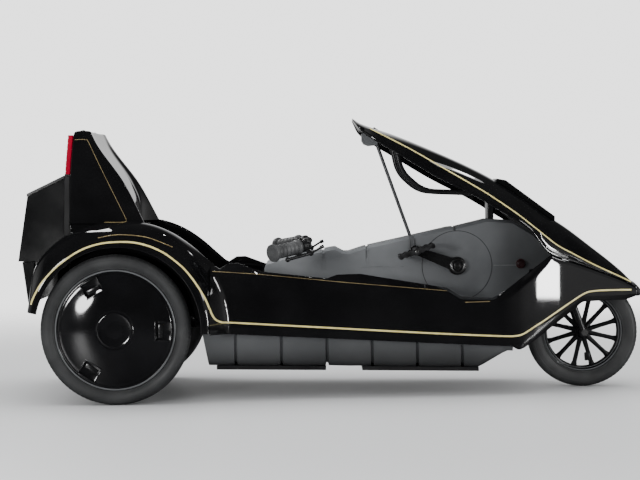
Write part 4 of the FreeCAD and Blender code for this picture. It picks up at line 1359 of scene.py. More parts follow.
@dataclass
class Tunnel:
    """Grey centre tunnel with the round chain case, its seams and the stay's bracket."""

    half: float = 60.0
    case_r: float = 99.0
    # x of each pair of upright ribs, their places beside it, their width and height, gap to the top
    rib_pairs: tuple[float, ...] = (-38.5, 86.5, 211.5)
    rib_places: Flat = (-4.6, 4.0)
    rib_width: float = 1.2
    rib_height: float = 46.0
    rib_gap: float = 12.0
    # x of both ends of each level rib, and its z
    level_ribs: Table = ((66, 190), (446, 534))
    level_z: Flat = (352.2, 353.6)
    top: Table = (
        (-206, 352), (-199, 370), (-128, 390), (-43, 403), (-20, 408), (-4, 410), (20, 397), (34, 397),
        (79, 411), (197, 436), (320, 463), (343, 465), (428, 485), (500, 480), (556, 446), (608, 398),
    )
    # crank boss: distance from the middle plane, radius
    boss: Table = ((62, 12), (64.2, 13), (66.0, 17), (66.0, 22), (64.6, 25.5), (62, 26.5))

    def build(self) -> None:
        """Rounds the tunnel's edges and adds its small mouldings."""
        TUNNEL.dress(refined("tunnel", 3.5), "chassis")
        self._case_rings()
        self._seams()
        self._bracket()

    def _case_rings(self) -> None:
        """Adds the dark joint round the chain case and the crank boss on both sides."""
        at = (CRANK[0], 0, CRANK[1])
        inner, outer = self.half - 0.4, self.half + 0.7
        joint = [(inner, self.case_r - 0.6), (outer, self.case_r - 0.4), (outer, self.case_r + 1.0),
                 (inner, self.case_r + 1.2)]
        for side in Side:
            line = turned(f"case_joint_{side.word}", mirrored(joint, side.value), at, steps=128)
            RUBBER_BLACK.dress(line, "chassis")
            seat = turned(f"crank_boss_{side.word}", mirrored(self.boss, side.value), at, steps=72)
            DARK_STEEL.dress(seat, "chassis")

    def _seams(self) -> None:
        """Adds raised mould lines, painted lighter than the tunnel as highlight: level ones along each side
        and upright pairs below the cross grooves.
        """
        boxes = [(x0, x1, *self.level_z) for x0, x1 in self.level_ribs]
        for x in self.rib_pairs:
            high = straight(self.top, x) - self.rib_gap
            boxes += [(x + place, x + place + self.rib_width, high - self.rib_height, high)
                      for place in self.rib_places]
        for side in Side:
            ribs = [self._rib(box, side) for box in boxes]
            HIGHLIT_SEAM.dress(merge(f"tunnel_seams_{side.word}", ribs), "chassis")

    def _rib(self, box: Sequence[float], side: Side) -> bpy.types.Object:
        """Makes a low rib on one side of the tunnel.

        Args:
            box: Lowest and highest x, lowest and highest z.
            side: The side.

        Returns:
            The new piece.
        """
        x0, x1, z0, z1 = box
        outline = [(x0, z0), (x1, z0), (x1, z1), (x0, z1)]
        return slab("rib", outline, (self.half - 0.6) * side.value, (self.half + 0.8) * side.value)

    def _bracket(self) -> None:
        """Adds the ribbed foot of the stay rod, on the tunnel's right side."""
        plate = block("plate", (205, -66, 386), (222, -59, 433), 2.0)
        ribs = [block("rib", (x, -69, 390), (x + 3, -65, 429), 0.8) for x in (206.5, 217.5)]
        eye = turned("eye", [(-9, 3.2), (-9, 8), (6, 8), (6, 3.2)], (213.5, -48, 433), steps=32)
        arm = block("arm", (208, -62, 427), (219, -42, 437), 1.6)
        SHELL.dress(merge("stay_bracket", [plate, *ribs, arm, eye]), "chassis")


# -------------------- wheels
@dataclass
class Tyre:
    """Tyre with rings on its sides and cross cuts in its tread."""

    node: str
    centre: Sequence[float]
    half: float
    inner: float
    outer: float
    cuts: int = 96
    cut_depth: float = 1.1
    uncut: float = 0.16
    # share of the half width, share of the depth from bead to tread, whether the cross cuts reach it
    section: Sequence[tuple[float, float, bool]] = (
        (0.66, 0.0, False), (0.74, 0.02, False), (0.80, 0.06, False), (0.80, 0.10, False),
        (0.76, 0.115, False), (0.78, 0.14, False), (0.90, 0.24, False), (0.97, 0.36, False),
        (1.0, 0.48, False), (0.985, 0.60, False), (0.965, 0.615, False), (0.965, 0.64, False),
        (0.98, 0.655, False), (0.93, 0.75, False),
        (0.90, 0.765, True), (0.86, 0.82, True), (0.72, 0.90, True), (0.52, 0.955, True), (0.46, 0.97, True),
        (0.44, 0.925, False), (0.36, 0.93, False), (0.34, 0.982, True), (0.18, 0.997, True),
        (0.05, 1.0, False), (0.03, 0.95, False),
    )

    def build(self) -> bpy.types.Object:
        """Builds the tyre, which stands for its node.

        Returns:
            The new skin.
        """
        depth = self.outer - self.inner
        left = [(wide * self.half, self.inner + depth * deep, tread) for wide, deep, tread in self.section]
        profile = left + [(-y, r, tread) for y, r, tread in reversed(left)]
        steps = self.cuts * 4
        rings = []
        for i in range(steps):
            angle = 2 * math.pi * i / steps
            ring = []
            for y, r, tread in profile:
                here = (i + (1 if y > 0 else 3)) % 4 == 0
                sunk = self.cut_depth if tread and here and abs(y) > self.half * self.uncut else 0.0
                ring.append(((r - sunk) * math.cos(angle) + self.centre[0], y + self.centre[1],
                             (r - sunk) * math.sin(angle) + self.centre[2]))
            rings.append(ring)
        piece = loft(f"{self.node}_skin", rings, 21, looped=True)
        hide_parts(self.node)
        return TYRE.dress(piece, body_of(self.node))


@dataclass
class RearWheel:
    """Rim, domed cover with three framed windows and a capped hub."""

    side: Side
    rim_r: float = 163.0
    half: float = 16.45
    hub_y: float = 295.0
    bore: float = 8.3
    dome_rise: float = 12.0
    sharp: float = 28.0
    window_turns: tuple[int, ...] = (118, 238, 358)
    # inner and outer radius of a window, and half its width
    window: Spot = (109.0, 149.0, 24.5)
    # inner and outer overlap of its frame
    frame: Flat = (2.4, 2.0)
    # the cover's rolled edge, its hub cap and the rim's lip, painted light grey as a highlight: distance out
    # from the face, radius
    edge: Table = ((1.4, 157.0), (1.2, 154.5), (2.0, 152.2), (3.6, 150.4))
    cap: Table = ((15.7, 50.5), (16.6, 49.4), (17.6, 47.0), (17.8, 44.5), (17.2, 42.5), (16.9, 41.0),
                  (17.3, 20), (17.4, TINY_R), (8, TINY_R), (8, 8.3))
    lip: Table = ((-1, 158.4), (3.0, 158.2), (4.2, 159.2), (4.2, 161.2), (3.2, 162.6), (-1, 162.8))

    def build(self) -> bpy.types.Object:
        """Builds the wheel.

        Returns:
            The dressed cover, which stands for the whole wheel node.
        """
        node = f"wheel_rear_{self.side.word}"
        face, back = REAR_WHEEL_Y + self.half, REAR_WHEEL_Y - self.half
        rim = self.rim_r
        dome = [(face + 3.8 + self.dome_rise * (1 - ((r - 50) / 97) ** 2), r) for r in spread(147, 52, 5)]
        profile = [
            (self.hub_y, self.bore), (self.hub_y, 26), (face - 6, 26), (face - 4, 49), (face - 5, 143),
            (back, 150), (back - 0.5, 156), (back, rim - 1), (back + 3, rim), (face - 3, rim),
            (face + 1.6, rim - 0.6), (face + 3.2, rim - 2.2), (face + 3.2, rim - 4.2),
            *[(face + out, r) for out, r in self.edge], *dome, *[(face + out, r) for out, r in self.cap],
        ]
        cover = self._turned(f"{node}_skin", profile)
        cutters, frames = [], []
        for turn in self.window_turns:
            cutters.append(self._cutter(turn, face))
            frames.append(self._frame(turn, face))
        carved(cover, cutters)
        smooth(cover.data, self.sharp)
        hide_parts(node)
        COVER.dress(cover, body_of(node))
        COVER_TRIM.dress(merge(f"window_frames_{self.side.word}", frames), body_of(node))
        # The rim's lip, painted light grey as a highlight.
        ring = self._turned(f"rim_lip_{self.side.word}", [(face + out, r) for out, r in self.lip])
        RIM_HIGHLIGHT.dress(ring, body_of(node))
        return cover

    def _turned(self, name: str, profile: Sequence[Flat]) -> bpy.types.Object:
        """Turns a profile about the axle, on this wheel's side."""
        at = (REAR_AXLE[0], 0.0, REAR_AXLE[1])
        return turned(name, mirrored(profile, self.side.value), at, steps=144, sharp=self.sharp)

    def _bar(self, name: str, out: Flat, reach: Flat, across: Flat, rounding: float) -> bpy.types.Object:
        """Makes a bar on the cover, at the wheel's front.

        Args:
            name: The piece's name.
            out: Nearest and furthest y, as if on the left.
            reach: Least and greatest distance from the axle.
            across: Lowest and highest place across that direction.
            rounding: Width of the edges' rounding.

        Returns:
            The new piece.
        """
        y0, y1 = sorted(y * self.side.value for y in out)
        cx, cz = REAR_AXLE
        return block(name, (cx + reach[0], y0, cz + across[0]), (cx + reach[1], y1, cz + across[1]), rounding)

    def _cutter(self, turn: float, face: float) -> bpy.types.Object:
        """Makes the solid that cuts one window's recess.

        Args:
            turn: Degrees from the wheel's front.
            face: y of the wheel's outer face, as if on the left.

        Returns:
            The new piece.
        """
        inner, outer, half = self.window
        cutter = self._bar("cutter", (face - 1.5, face + 30), (inner, outer), (-half, half), 2.0)
        return turned_about_y(cutter, turn, REAR_AXLE)

    def _frame(self, turn: float, face: float) -> bpy.types.Object:
        """Makes the raised lip round one window and the step on its floor.

        Args:
            turn: Degrees from the wheel's front.
            face: y of the wheel's outer face, as if on the left.

        Returns:
            The new piece.
        """
        inner, outer, half = self.window
        near, far = inner - self.frame[0], outer + self.frame[1]
        side = half + 2
        parts = []
        for reach, across in (((near, inner + 0.2), (-side, side)), ((outer - 0.2, far), (-side, side)),
                              ((near, far), (-side, 0.2 - half)), ((near, far), (half - 0.2, side))):
            top = face + 7.0 + 5.6 * (outer - sum(reach) / 2) / (outer - inner)
            parts.append(self._bar("lip", (face + 1, top), reach, across, 0.8))
        step = (inner + 7, inner + 19), (6 - half, half - 6)
        parts.append(self._bar("step", (face - 1.4, face + 1.2), *step, 1.2))
        return turned_about_y(merge("frame", parts), turn, REAR_AXLE)


@dataclass
class FrontWheel:
    """Cast wheel with a double-ringed rim and ridged spokes."""

    rim_r: float = 113.0
    rim_low: float = 100.0
    half: float = 18.9
    hub_r: float = 17.0
    hub_half: float = 32.0
    spokes: int = 12
    first_turn: float = 16.5
    bore: float = 5.2
    # distance from the axle, half width, half thickness of a spoke at its ridge
    spoke: Table = ((13, 9.5, 9.0), (30, 7.0, 7.0), (60, 6.0, 5.6), (90, 6.4, 6.0), (103, 9.5, 7.5))
    spoke_edge: float = 2.0
    ridge_half: float = 1.4
    # outline of the valve's boss from the axle, and how far it is turned
    valve: Table = ((-8, -86), (7, -88), (9, -68), (3, -62), (-5, -64))
    valve_turn: float = 11
    cap_y: float = 41.5

    def build(self) -> bpy.types.Object:
        """Builds the wheel, which stands for its node, and the rings and caps on it.

        Returns:
            The new skin.
        """
        cx, cz = FRONT_AXLE
        at = (cx, 0.0, cz)
        h, high, low = self.half, self.rim_r, self.rim_low
        rim = [(h, high - 3.4), (h, high), (-h, high), (-h, high - 3.4), (-h + 2.2, high - 5),
               (-h + 4, low + 4), (-7, low + 2), (-4, low), (4, low), (7, low + 2), (h - 4, low + 4),
               (h - 2.2, high - 5)]
        k, r = self.hub_half, self.hub_r
        hub = [(-k, self.bore), (-k, r - 5), (-k + 1.5, r - 3.5), (-16, r - 2), (-12, r + 1.5), (12, r + 1.5),
               (16, r - 2), (k - 1.5, r - 3.5), (k, r - 5), (k, self.bore)]
        parts = [turned("rim", rim, at, steps=144, sharp=30), turned("hub", hub, at, steps=72, sharp=30)]
        parts += [self._spoke(self.first_turn - i * 360 / self.spokes) for i in range(self.spokes)]
        stem = slab("stem", [(cx + x, cz + z) for x, z in self.valve], -7, 7, 2.0)
        parts.append(turned_about_y(stem, self.valve_turn, FRONT_AXLE))
        piece = merge("wheel_front_skin", parts)
        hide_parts("wheel_front")
        # Raised rings on both faces of the rim, painted light grey as highlights.
        ridges = [
            [(h - 0.2, high - 3.6), (h + 0.9, high - 3.0), (h + 0.9, high - 0.8), (h - 0.2, high - 0.2)],
            [(h - 4.2, low + 3.6), (h - 2.9, low + 4.2), (h - 2.9, low + 5.2), (h - 4.2, low + 5.8)],
        ]
        highlight_rings = [turned("lip", mirrored(ridge, sign), at, steps=128) for ridge in ridges for sign in (-1, 1)]
        RIM_HIGHLIGHT.dress(merge("wheel_front_lips", highlight_rings), body_of("wheel_front"))
        caps = [bolt("cap", (cx, self.cap_y * side.value, cz), (0, side.value, 0), 5.0, 3.0) for side in Side]
        BRIGHT_STEEL.dress(merge("front_axle_caps", caps), body_of("front_axle"))
        return SPOKE_BLACK.dress(piece, body_of("wheel_front"))

    def _spoke(self, turn: float) -> bpy.types.Object:
        """Makes one spoke: a flat bar that widens at both ends, with a ridge along its middle.

        Args:
            turn: Degrees from the wheel's front.

        Returns:
            The new piece.
        """
        cx, cz = FRONT_AXLE
        edge, ridge = self.spoke_edge, self.ridge_half
        rings = []
        for r, width, thick in self.spoke:
            section = [(width, -edge), (width, edge), (ridge, thick), (-ridge, thick), (-width, edge),
                       (-width, -edge), (-ridge, -thick), (ridge, -thick)]
            rings.append([(cx + r, y, cz + w) for w, y in section])
        return turned_about_y(loft("spoke", rings, sharp=30), turn, FRONT_AXLE)


# -------------------- pedals and handlebar
@dataclass
class Pedals:
    """Both arms of the crank and both cage pedals."""

    length: float = 128.0
    arm_degrees: float = 159.0
    tilt: float = 19.0
    inner_y: float = 96.0
    outer_y: float = 178.0
    half: float = 54.0
    height: float = 7.5
    teeth: int = 7
    tooth_low: float = 2.2
    plate: float = 3.0
    # x of the cross bars from the spindle, their width and half height
    bars: tuple[float, ...] = (-53.0, -17.0, 13.0, 49.0)
    bar_width: float = 4.0
    bar_half: float = 4.5
    cap_y: float = 84.0
    # ring round the crank's bolt: distance out, radius
    ring: Table = ((-0.4, 15.5), (1.0, 16), (1.9, 17.5), (1.9, 20), (1.0, 21.5), (-0.4, 22))

    def build(self) -> None:
        """Rounds the crank and builds its caps and the cages."""
        CRANK_BLACK.dress(refined("crankset", 4.0, segments=4), "crank")
        for side in Side:
            self._arm_trim(side)
            self._cage(side)

    def _end(self, side: Side) -> Flat:
        """Finds a pedal spindle's x and z."""
        angle = math.radians(self.arm_degrees + (180 if side is Side.LEFT else 0))
        return CRANK[0] + self.length * math.cos(angle), CRANK[1] + self.length * math.sin(angle)

    def _arm_trim(self, side: Side) -> None:
        """Adds the ring and the bolt at one end of the crank's axle.

        Args:
            side: The side.
        """
        at = (CRANK[0], self.cap_y * side.value, CRANK[1])
        out = (0, side.value, 0)
        parts = [turned("ring", self.ring, at, out, steps=64), bolt("cap", at, out, 7.0, 4.5)]
        SATIN_STEEL.dress(merge(f"crank_cap_{side.word}", parts), "crank")

    def _toothed(self, span: Sequence[float], at: Flat) -> bpy.types.Object:
        """Makes a cage plate with teeth along both edges.

        Args:
            span: Lowest and highest y.
            at: The spindle's x and z.

        Returns:
            The new piece.
        """
        x, z = at
        pitch = 2 * self.half / self.teeth
        low, high = self.height - self.tooth_low, self.height
        top: list[Flat] = []
        for i in range(self.teeth):
            start = -self.half + 2 * self.half * i / self.teeth
            top += [(start + pitch * 0.12, low), (start + pitch * 0.38, high), (start + pitch * 0.62, high),
                    (start + pitch * 0.88, low)]
        outline = [(x + px, z + pz) for px, pz in top] + [(x + px, z - pz) for px, pz in reversed(top)]
        return slab("plate", outline, *span, 0.5)

    def _cage(self, side: Side) -> None:
        """Builds a pedal: two toothed plates, their cross bars, the barrel and a bright bolt.

        Args:
            side: The side.
        """
        x, z = self._end(side)
        sign, inner, outer = side.value, self.inner_y, self.outer_y
        parts = [self._toothed(sorted((y * sign, (y + self.plate) * sign)), (x, z))
                 for y in (inner + 0.5, outer - self.plate - 1.0)]
        y0, y1 = sorted(((inner + 2) * sign, (outer - 2) * sign))
        high, wide = self.bar_half, self.bar_width
        parts += [block("bar", (x + px, y0, z - high), (x + px + wide, y1, z + high), 0.7)
                  for px in self.bars]
        barrel = [(inner + 0.5, 6.4), (inner + 0.5, 10), (inner + 22, 8.5), (outer - 24, 8.5),
                  (outer - 2, 10.5), (outer - 0.5, 9.5), (outer - 0.5, 6.4)]
        parts.append(turned("barrel", mirrored(barrel, sign), (x, 0, z), steps=40))
        cage = turned_about_y(merge(f"cage_{side.word}", parts), self.tilt, (x, z))
        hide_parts(f"pedal_{side.word}")
        CAGE_STEEL.dress(cage, f"pedal_{side.word}")
        cap = bolt(f"pedal_bolt_{side.word}", (x, (outer - 3) * sign, z), (0, sign, 0), 6.0, 2.4)
        BRIGHT_STEEL.dress(cap, f"pedal_{side.word}")


@dataclass
class Handlebar:
    """Ribbed grips with ringed end caps, on the bar's two ends."""

    inner: Spot = (-84.0, 210.0, 421.0)
    outer: Spot = (-178.0, 298.0, 403.0)
    radius: float = 19.0
    ribs: int = 5
    # end cap: distance from the outer end, radius
    cap: Table = ((0.0, TINY_R), (0.0, 6.0), (1.0, 6.8), (1.0, 12.5), (0.2, 13.4), (0.2, 20.5), (2.0, 24.0),
                  (9.0, 25.0), (12.5, 23.0), (13.5, 17.0))
    # one rib: share of its length, how far it stands above the radius
    rib: Table = ((0.0, -0.8), (0.06, -0.1), (0.5, 0.4), (0.92, -0.1), (0.98, -0.8))
    bore: float = 11.2
    bore_end: float = 10.0
    # lever's ball: how far along the grip it hangs, its place from there, radius
    ball_along: float = 22.0
    ball_from: Spot = (27, 0, -21)
    ball_r: float = 7.0

    def build(self) -> None:
        """Rounds the bar and the levers and builds both grips and the levers' balls."""
        DARK_STEEL.dress(refined("handlebar", 1.5, angle=40), "handlebar")
        for side in Side:
            self._grip(side)
            lever = refined(f"brake_lever_{side.word}", 1.2, angle=40)
            LEVER_BLACK.dress(lever, "handlebar")
            self._ball(side)

    def _grip(self, side: Side) -> None:
        """Builds a grip along the bar's end, ribbed between its end cap and its inner collar.

        Args:
            side: The side.
        """
        start = Vector((self.outer[0], self.outer[1] * side.value, self.outer[2]))
        end = Vector((self.inner[0], self.inner[1] * side.value, self.inner[2]))
        run = (end - start).normalized()
        length = (end - start).length - 24
        profile: list[Flat] = list(self.cap)
        first, last = 15.0, length - 20
        pitch = (last - first) / self.ribs
        for i in range(self.ribs):
            profile += [(first + i * pitch + pitch * share, self.radius + high) for share, high in self.rib]
        profile += [(last + 1, self.radius), (last + 4, self.radius + 2.6), (last + 11, self.radius + 2.8),
                    (length - 5, self.radius), (length, self.radius - 3), (length, self.bore),
                    (self.bore_end, self.bore), (self.bore_end, TINY_R)]
        grip = turned(f"grip_{side.word}_skin", profile, start, run, steps=64, sharp=40)
        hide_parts(f"grip_{side.word}")
        GRIP.dress(grip, "handlebar")

    def _ball(self, side: Side) -> None:
        """Adds the ball at a lever's free end.

        Args:
            side: The side.
        """
        start = Vector(self.outer)
        run = (Vector(self.inner) - start).normalized()
        tip = start + run * self.ball_along + Vector(self.ball_from)
        centre = (tip.x, tip.y * side.value, tip.z)
        profile = [(self.ball_r * math.cos(a), max(TINY_R, self.ball_r * math.sin(a)))
                   for a in spread(math.pi, 0, math.pi / 12)]
        LEVER_BLACK.dress(turned(f"lever_ball_{side.word}", profile, centre, steps=24), "handlebar")


# -------------------- small fittings
@dataclass
class Fittings:
    """Seat bolts, the strip at the seat's heel, the tail lens, the stay rod and the pod's inner rails."""

    # the strip that closes the seat pan at the foot of its back: outline, half width
    heel: Table = ((-356, 206.4), (-413.6, 206.4), (-436, 225.2), (-442, 225.2), (-415, 200.6), (-356, 200.6))
    heel_half: float = 230.0
    stay: tuple[Spot, Spot] = ((213, -42, 430), (118, -28, 702))
    stay_r: float = 4.9
    rail: Table = ((166, 702), (184, 620), (245, 566), (462, 556.4))
    rail_y: float = 120.0
    rail_r: float = 7.5
    rail_bend: float = 95.0
    lens_z: Flat = (624.2, 732.7)
    lens_x: Flat = (-748.6, -735.4)
    lens_lean: float = 6.2
    lens_half: float = 203.5
    lens_taper: float = 0.245
    lens_runs: int = 42
    lens_rib: int = 6

    def build(self) -> None:
        """Builds the fittings."""
        top = [bolt("bolt", (-708, y, 744), (0, 0, 1), 6.5, 4.0) for y in (-120, 120)]
        DARK_STEEL.dress(merge("tower_bolts", top), "chassis")
        foot = []
        for side in Side:
            foot.append(bolt("bolt", (-518, 228 * side.value, 484), (0.42, 0, 0.9), 4.5, 3.5))
            foot.append(bolt("bolt", (-447, 234 * side.value, 455), (0.5, 0, 0.86), 3.2, 2.4))
        BRIGHT_STEEL.dress(merge("tower_foot_bolts", foot), "chassis")
        heel = slab("seat_heel_strip", self.heel, -self.heel_half, self.heel_half)
        BODY.dress(heel, "chassis")
        self._lens()
        stay = rod("stay_rod_skin", self._run(*self.stay), self.stay_r, steps=32)
        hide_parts("stay_rod")
        ROD_GREY.dress(stay, "chassis")
        for side in Side:
            y = self.rail_y * side.value
            route = [(x, y, z) for x, z in self._bent(self.rail, self.rail_bend)]
            rail = rod(f"pod_rail_skin_{side.word}", route, self.rail_r, steps=32)
            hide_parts(f"pod_rail_{side.word}")
            DARK_STEEL.dress(rail, "chassis")

    def _lens(self) -> None:
        """Builds the red lens, which leans with the tower's rear face and has ribs across it."""
        low, high = self.lens_z
        rings = []
        for i in range(self.lens_runs + 1):
            z = low + (high - low) * i / self.lens_runs
            half = self.lens_half - (z - low) * self.lens_taper
            lift = self.lens_lean * (i / self.lens_runs) ** 1.3
            sunk = 1.0 if i % self.lens_rib == self.lens_rib // 2 else 0.0
            back, front = self.lens_x[0] + lift + sunk, self.lens_x[1] + lift
            rings.append([(back, half - 3, z), (back + 3, half, z), (front, half, z), (front, -half, z),
                          (back + 3, -half, z), (back, 3 - half, z)])
        lens = loft("tail_lens_skin", rings, sharp=30)
        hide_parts("tail_lens")
        RED_LENS.dress(lens, "chassis")

    def _run(self, start: Spot, end: Spot) -> list[Vector]:
        """Puts evenly spaced points from start to end."""
        a, b = Vector(start), Vector(end)
        return [a.lerp(b, i / 12) for i in range(13)]

    def _bent(self, corners: Sequence[Flat], radius: float) -> list[Flat]:
        """Puts points along straight runs that are joined by arcs.

        Args:
            corners: Where the straight runs would meet.
            radius: Radius of the arcs.

        Returns:
            The points.
        """
        points = [Vector(corners[0])]
        for before, at, after in zip(corners, corners[1:], corners[2:]):
            a, b, c = Vector(before), Vector(at), Vector(after)
            turn = (b - a).angle(c - b)
            cut = min(radius * math.tan(turn / 2), (b - a).length * 0.48, (c - b).length * 0.48)
            start, end = b + (a - b).normalized() * cut, b + (c - b).normalized() * cut
            for i in range(13):
                t = i / 12
                points.append(start * (1 - t) ** 2 + b * 2 * t * (1 - t) + end * t**2)
        points.append(Vector(corners[-1]))
        return [(v.x, v.y) for v in points]


# -------------------- coachlines
@dataclass
class Coachlines:
    """Cream lines that lie on the black skins, and a fine line along the sill's crest that is a painted
    highlight.
    """

    targets: Sequence[bpy.types.Object]
    lift: float = 0.45
    edge_lift: float = 0.25
    shares: tuple[float, ...] = (-0.5, -0.25, 0.0, 0.25, 0.5)
    step: float = 5.0
    longest_gap: float = 30.0
    broad: float = 3.0
    # where the search for the skins starts, in metres from the middle plane
    outside: float = 0.6
    # side view route as x, z points, and width
    routes: dict[str, tuple[Sequence[Flat], float]] = field(default_factory=lambda: {
        "waist": ((
            (833, 280.7), (786, 281.6), (744, 281.8), (722, 281.0), (704, 279), (690, 274), (676, 267),
            (634, 242), (574, 205), (545, 188.5), (520, 173.5), (506, 167.5), (492, 165), (458, 165),
            (290, 175.2), (121, 186.6), (-47, 198.8), (-290, 216.5), (-314, 220), (-324, 224),
            (-331.5, 230.5), (-338.5, 243), (-345.5, 261), (-357, 288), (-374, 318), (-394, 347),
            (-417, 373.5), (-456, 405), (-487, 422), (-515, 432.5), (-542, 438.6), (-573.6, 441),
            (-613, 439.6), (-642, 435), (-672, 426), (-701, 412), (-730, 392.5), (-759, 369), (-788, 338),
            (-804, 314), (-816.5, 290), (-821, 276),
        ), 4.6),
        "pod": ((
            (95, 742), (206, 683), (281, 639), (397, 570), (437, 544), (500, 500), (564, 450), (612, 413),
            (660, 387), (723, 354.5), (800, 319), (833, 303.5),
        ), 3.6),
        "fender_fine": ((
            (-640, 452), (-612, 457.5), (-583, 460), (-540, 457), (-500, 449), (-442, 425),
        ), 1.8),
        # The fine line along the sill's crest stands in for a thin highlight there: a painted highlight in
        # the coachlines' gold.
        "sill_fine": (((-340, 356), (-210, 345), (-20, 324), (146, 307.5), (300, 292.5)), 1.2),
        "crest_fine": (((350, 260.5), (384, 261), (418, 261.5)), 1.8),
        "tower_panel": ((
            (-731, 719), (-700, 720), (-690, 718), (-684, 712), (-640, 622), (-578, 500), (-574, 494),
            (-580, 492), (-634, 492),
        ), 1.5),
    })

    def build(self) -> None:
        """Lays every line on both sides."""
        tree = self._tree()
        for side in Side:
            for label, (route, width) in self.routes.items():
                line = self._ribbon(f"line_{label}_{side.word}", route, width, side, tree)
                (LINE if width > self.broad else FINE_LINE).dress(line, "chassis")

    def _tree(self) -> BVHTree:
        """Makes a search tree over all the skins that carry lines.

        Returns:
            The tree, in metres.
        """
        verts: list[Vector] = []
        faces: list[list[int]] = []
        for piece in self.targets:
            base = len(verts)
            verts += [v.co.copy() for v in piece.data.vertices]
            faces += [[base + i for i in polygon.vertices] for polygon in piece.data.polygons]
        return BVHTree.FromPolygons(verts, faces)

    def _ribbon(self, name: str, route: Sequence[Flat], width: float, side: Side,
                tree: BVHTree) -> bpy.types.Object:
        """Lays a thin band along a side-view route, on whatever the tree holds.

        Args:
            name: The piece's name.
            route: The route, as x, z.
            width: The band's width.
            side: The side.
            tree: The skins.

        Returns:
            The new piece.
        """
        points = flowing(route, self.step)
        size = len(self.shares)
        rows: list[list[Vector]] = []
        for i, point in enumerate(points):
            after = Vector(points[min(i + 1, len(points) - 1)])
            before = Vector(points[max(i - 1, 0)])
            heading = (after - before).normalized()
            across = Vector((-heading.y, heading.x))
            row = []
            for share in self.shares:
                x, z = Vector(point) + across * width * share
                start = Vector((x * MM, side.value * self.outside, z * MM))
                hit, normal, _, _ = tree.ray_cast(start, Vector((0, -side.value, 0)))
                if hit is None or hit.y * side.value < 0:
                    break
                if normal.y * side.value < 0:
                    normal = -normal
                edge = self.edge_lift if abs(share) == 0.5 else 1.0
                row.append((hit + normal * self.lift * edge * MM) / MM)
            if len(row) == size:
                rows.append(row)
        rows = self._evened(rows, side)
        verts = [point for row in rows for point in row]
        faces = []
        for i in range(len(rows) - 1):
            if (rows[i][2] - rows[i + 1][2]).length > self.longest_gap:
                continue
            for k in range(size - 1):
                faces.append([size * i + k, size * i + size + k, size * i + size + 1 + k, size * i + 1 + k])
        return make_piece(name, verts, faces, sharp=80)

    def _evened(self, rows: list[list[Vector]], side: Side, reach: int = 3) -> list[list[Vector]]:
        """Keeps the band from dropping suddenly towards the middle plane where two skins meet.

        Args:
            rows: The band's rows of points.
            side: The side.
            reach: How many rows each way are looked at.

        Returns:
            The new rows.
        """
        depths = [[abs(point.y) for point in row] for row in rows]
        result = []
        for i, row in enumerate(rows):
            near = range(max(0, i - reach), min(len(rows), i + reach + 1))
            near = [j for j in near if (rows[j][2] - row[2]).length < self.longest_gap]
            usual = [sum(depths[j][k] for j in near) / len(near) for k in range(len(row))]
            result.append([Vector((point.x, side.value * max(abs(point.y), depth), point.z))
                           for point, depth in zip(row, usual)])
        return result


# -------------------- everything carried over
@dataclass
class PlainNodes:
    """CAD nodes that keep their shape: some get rounded edges, all get their finish."""

    rounding: dict[str, float] = field(default_factory=lambda: {
        "seat_tub": 6.0, "boot_box": 6.0, "boot_lid": 2.0, "rear_flap": 4.0, "lamp_housing": 3.0,
        "display_unit": 6.0, "belly_plates": 1.5, "rear_frame": 1.5, "battery": 4.0, "pod_post": 2.0,
        "boot_seal": 1.5, "fork": 1.2, "bar_post": 1.5, "motor": 3.0, "side_knob": 2.0,
    })

    def build(self) -> None:
        """Gives every node its finish and rounds those that nothing has replaced yet."""
        slots = {row["node"]: row["material_slot"] for row in FRAME["record"]["subparts"]}
        for node, solid in FRAME["nodes"].items():
            finish = NODE_FINISH.get(node, SLOT_FINISH[slots[node]])
            finish.dress(solid)
            if node in self.rounding and not solid.hide_render:
                finish.dress(refined(node, self.rounding[node]), body_of(node))


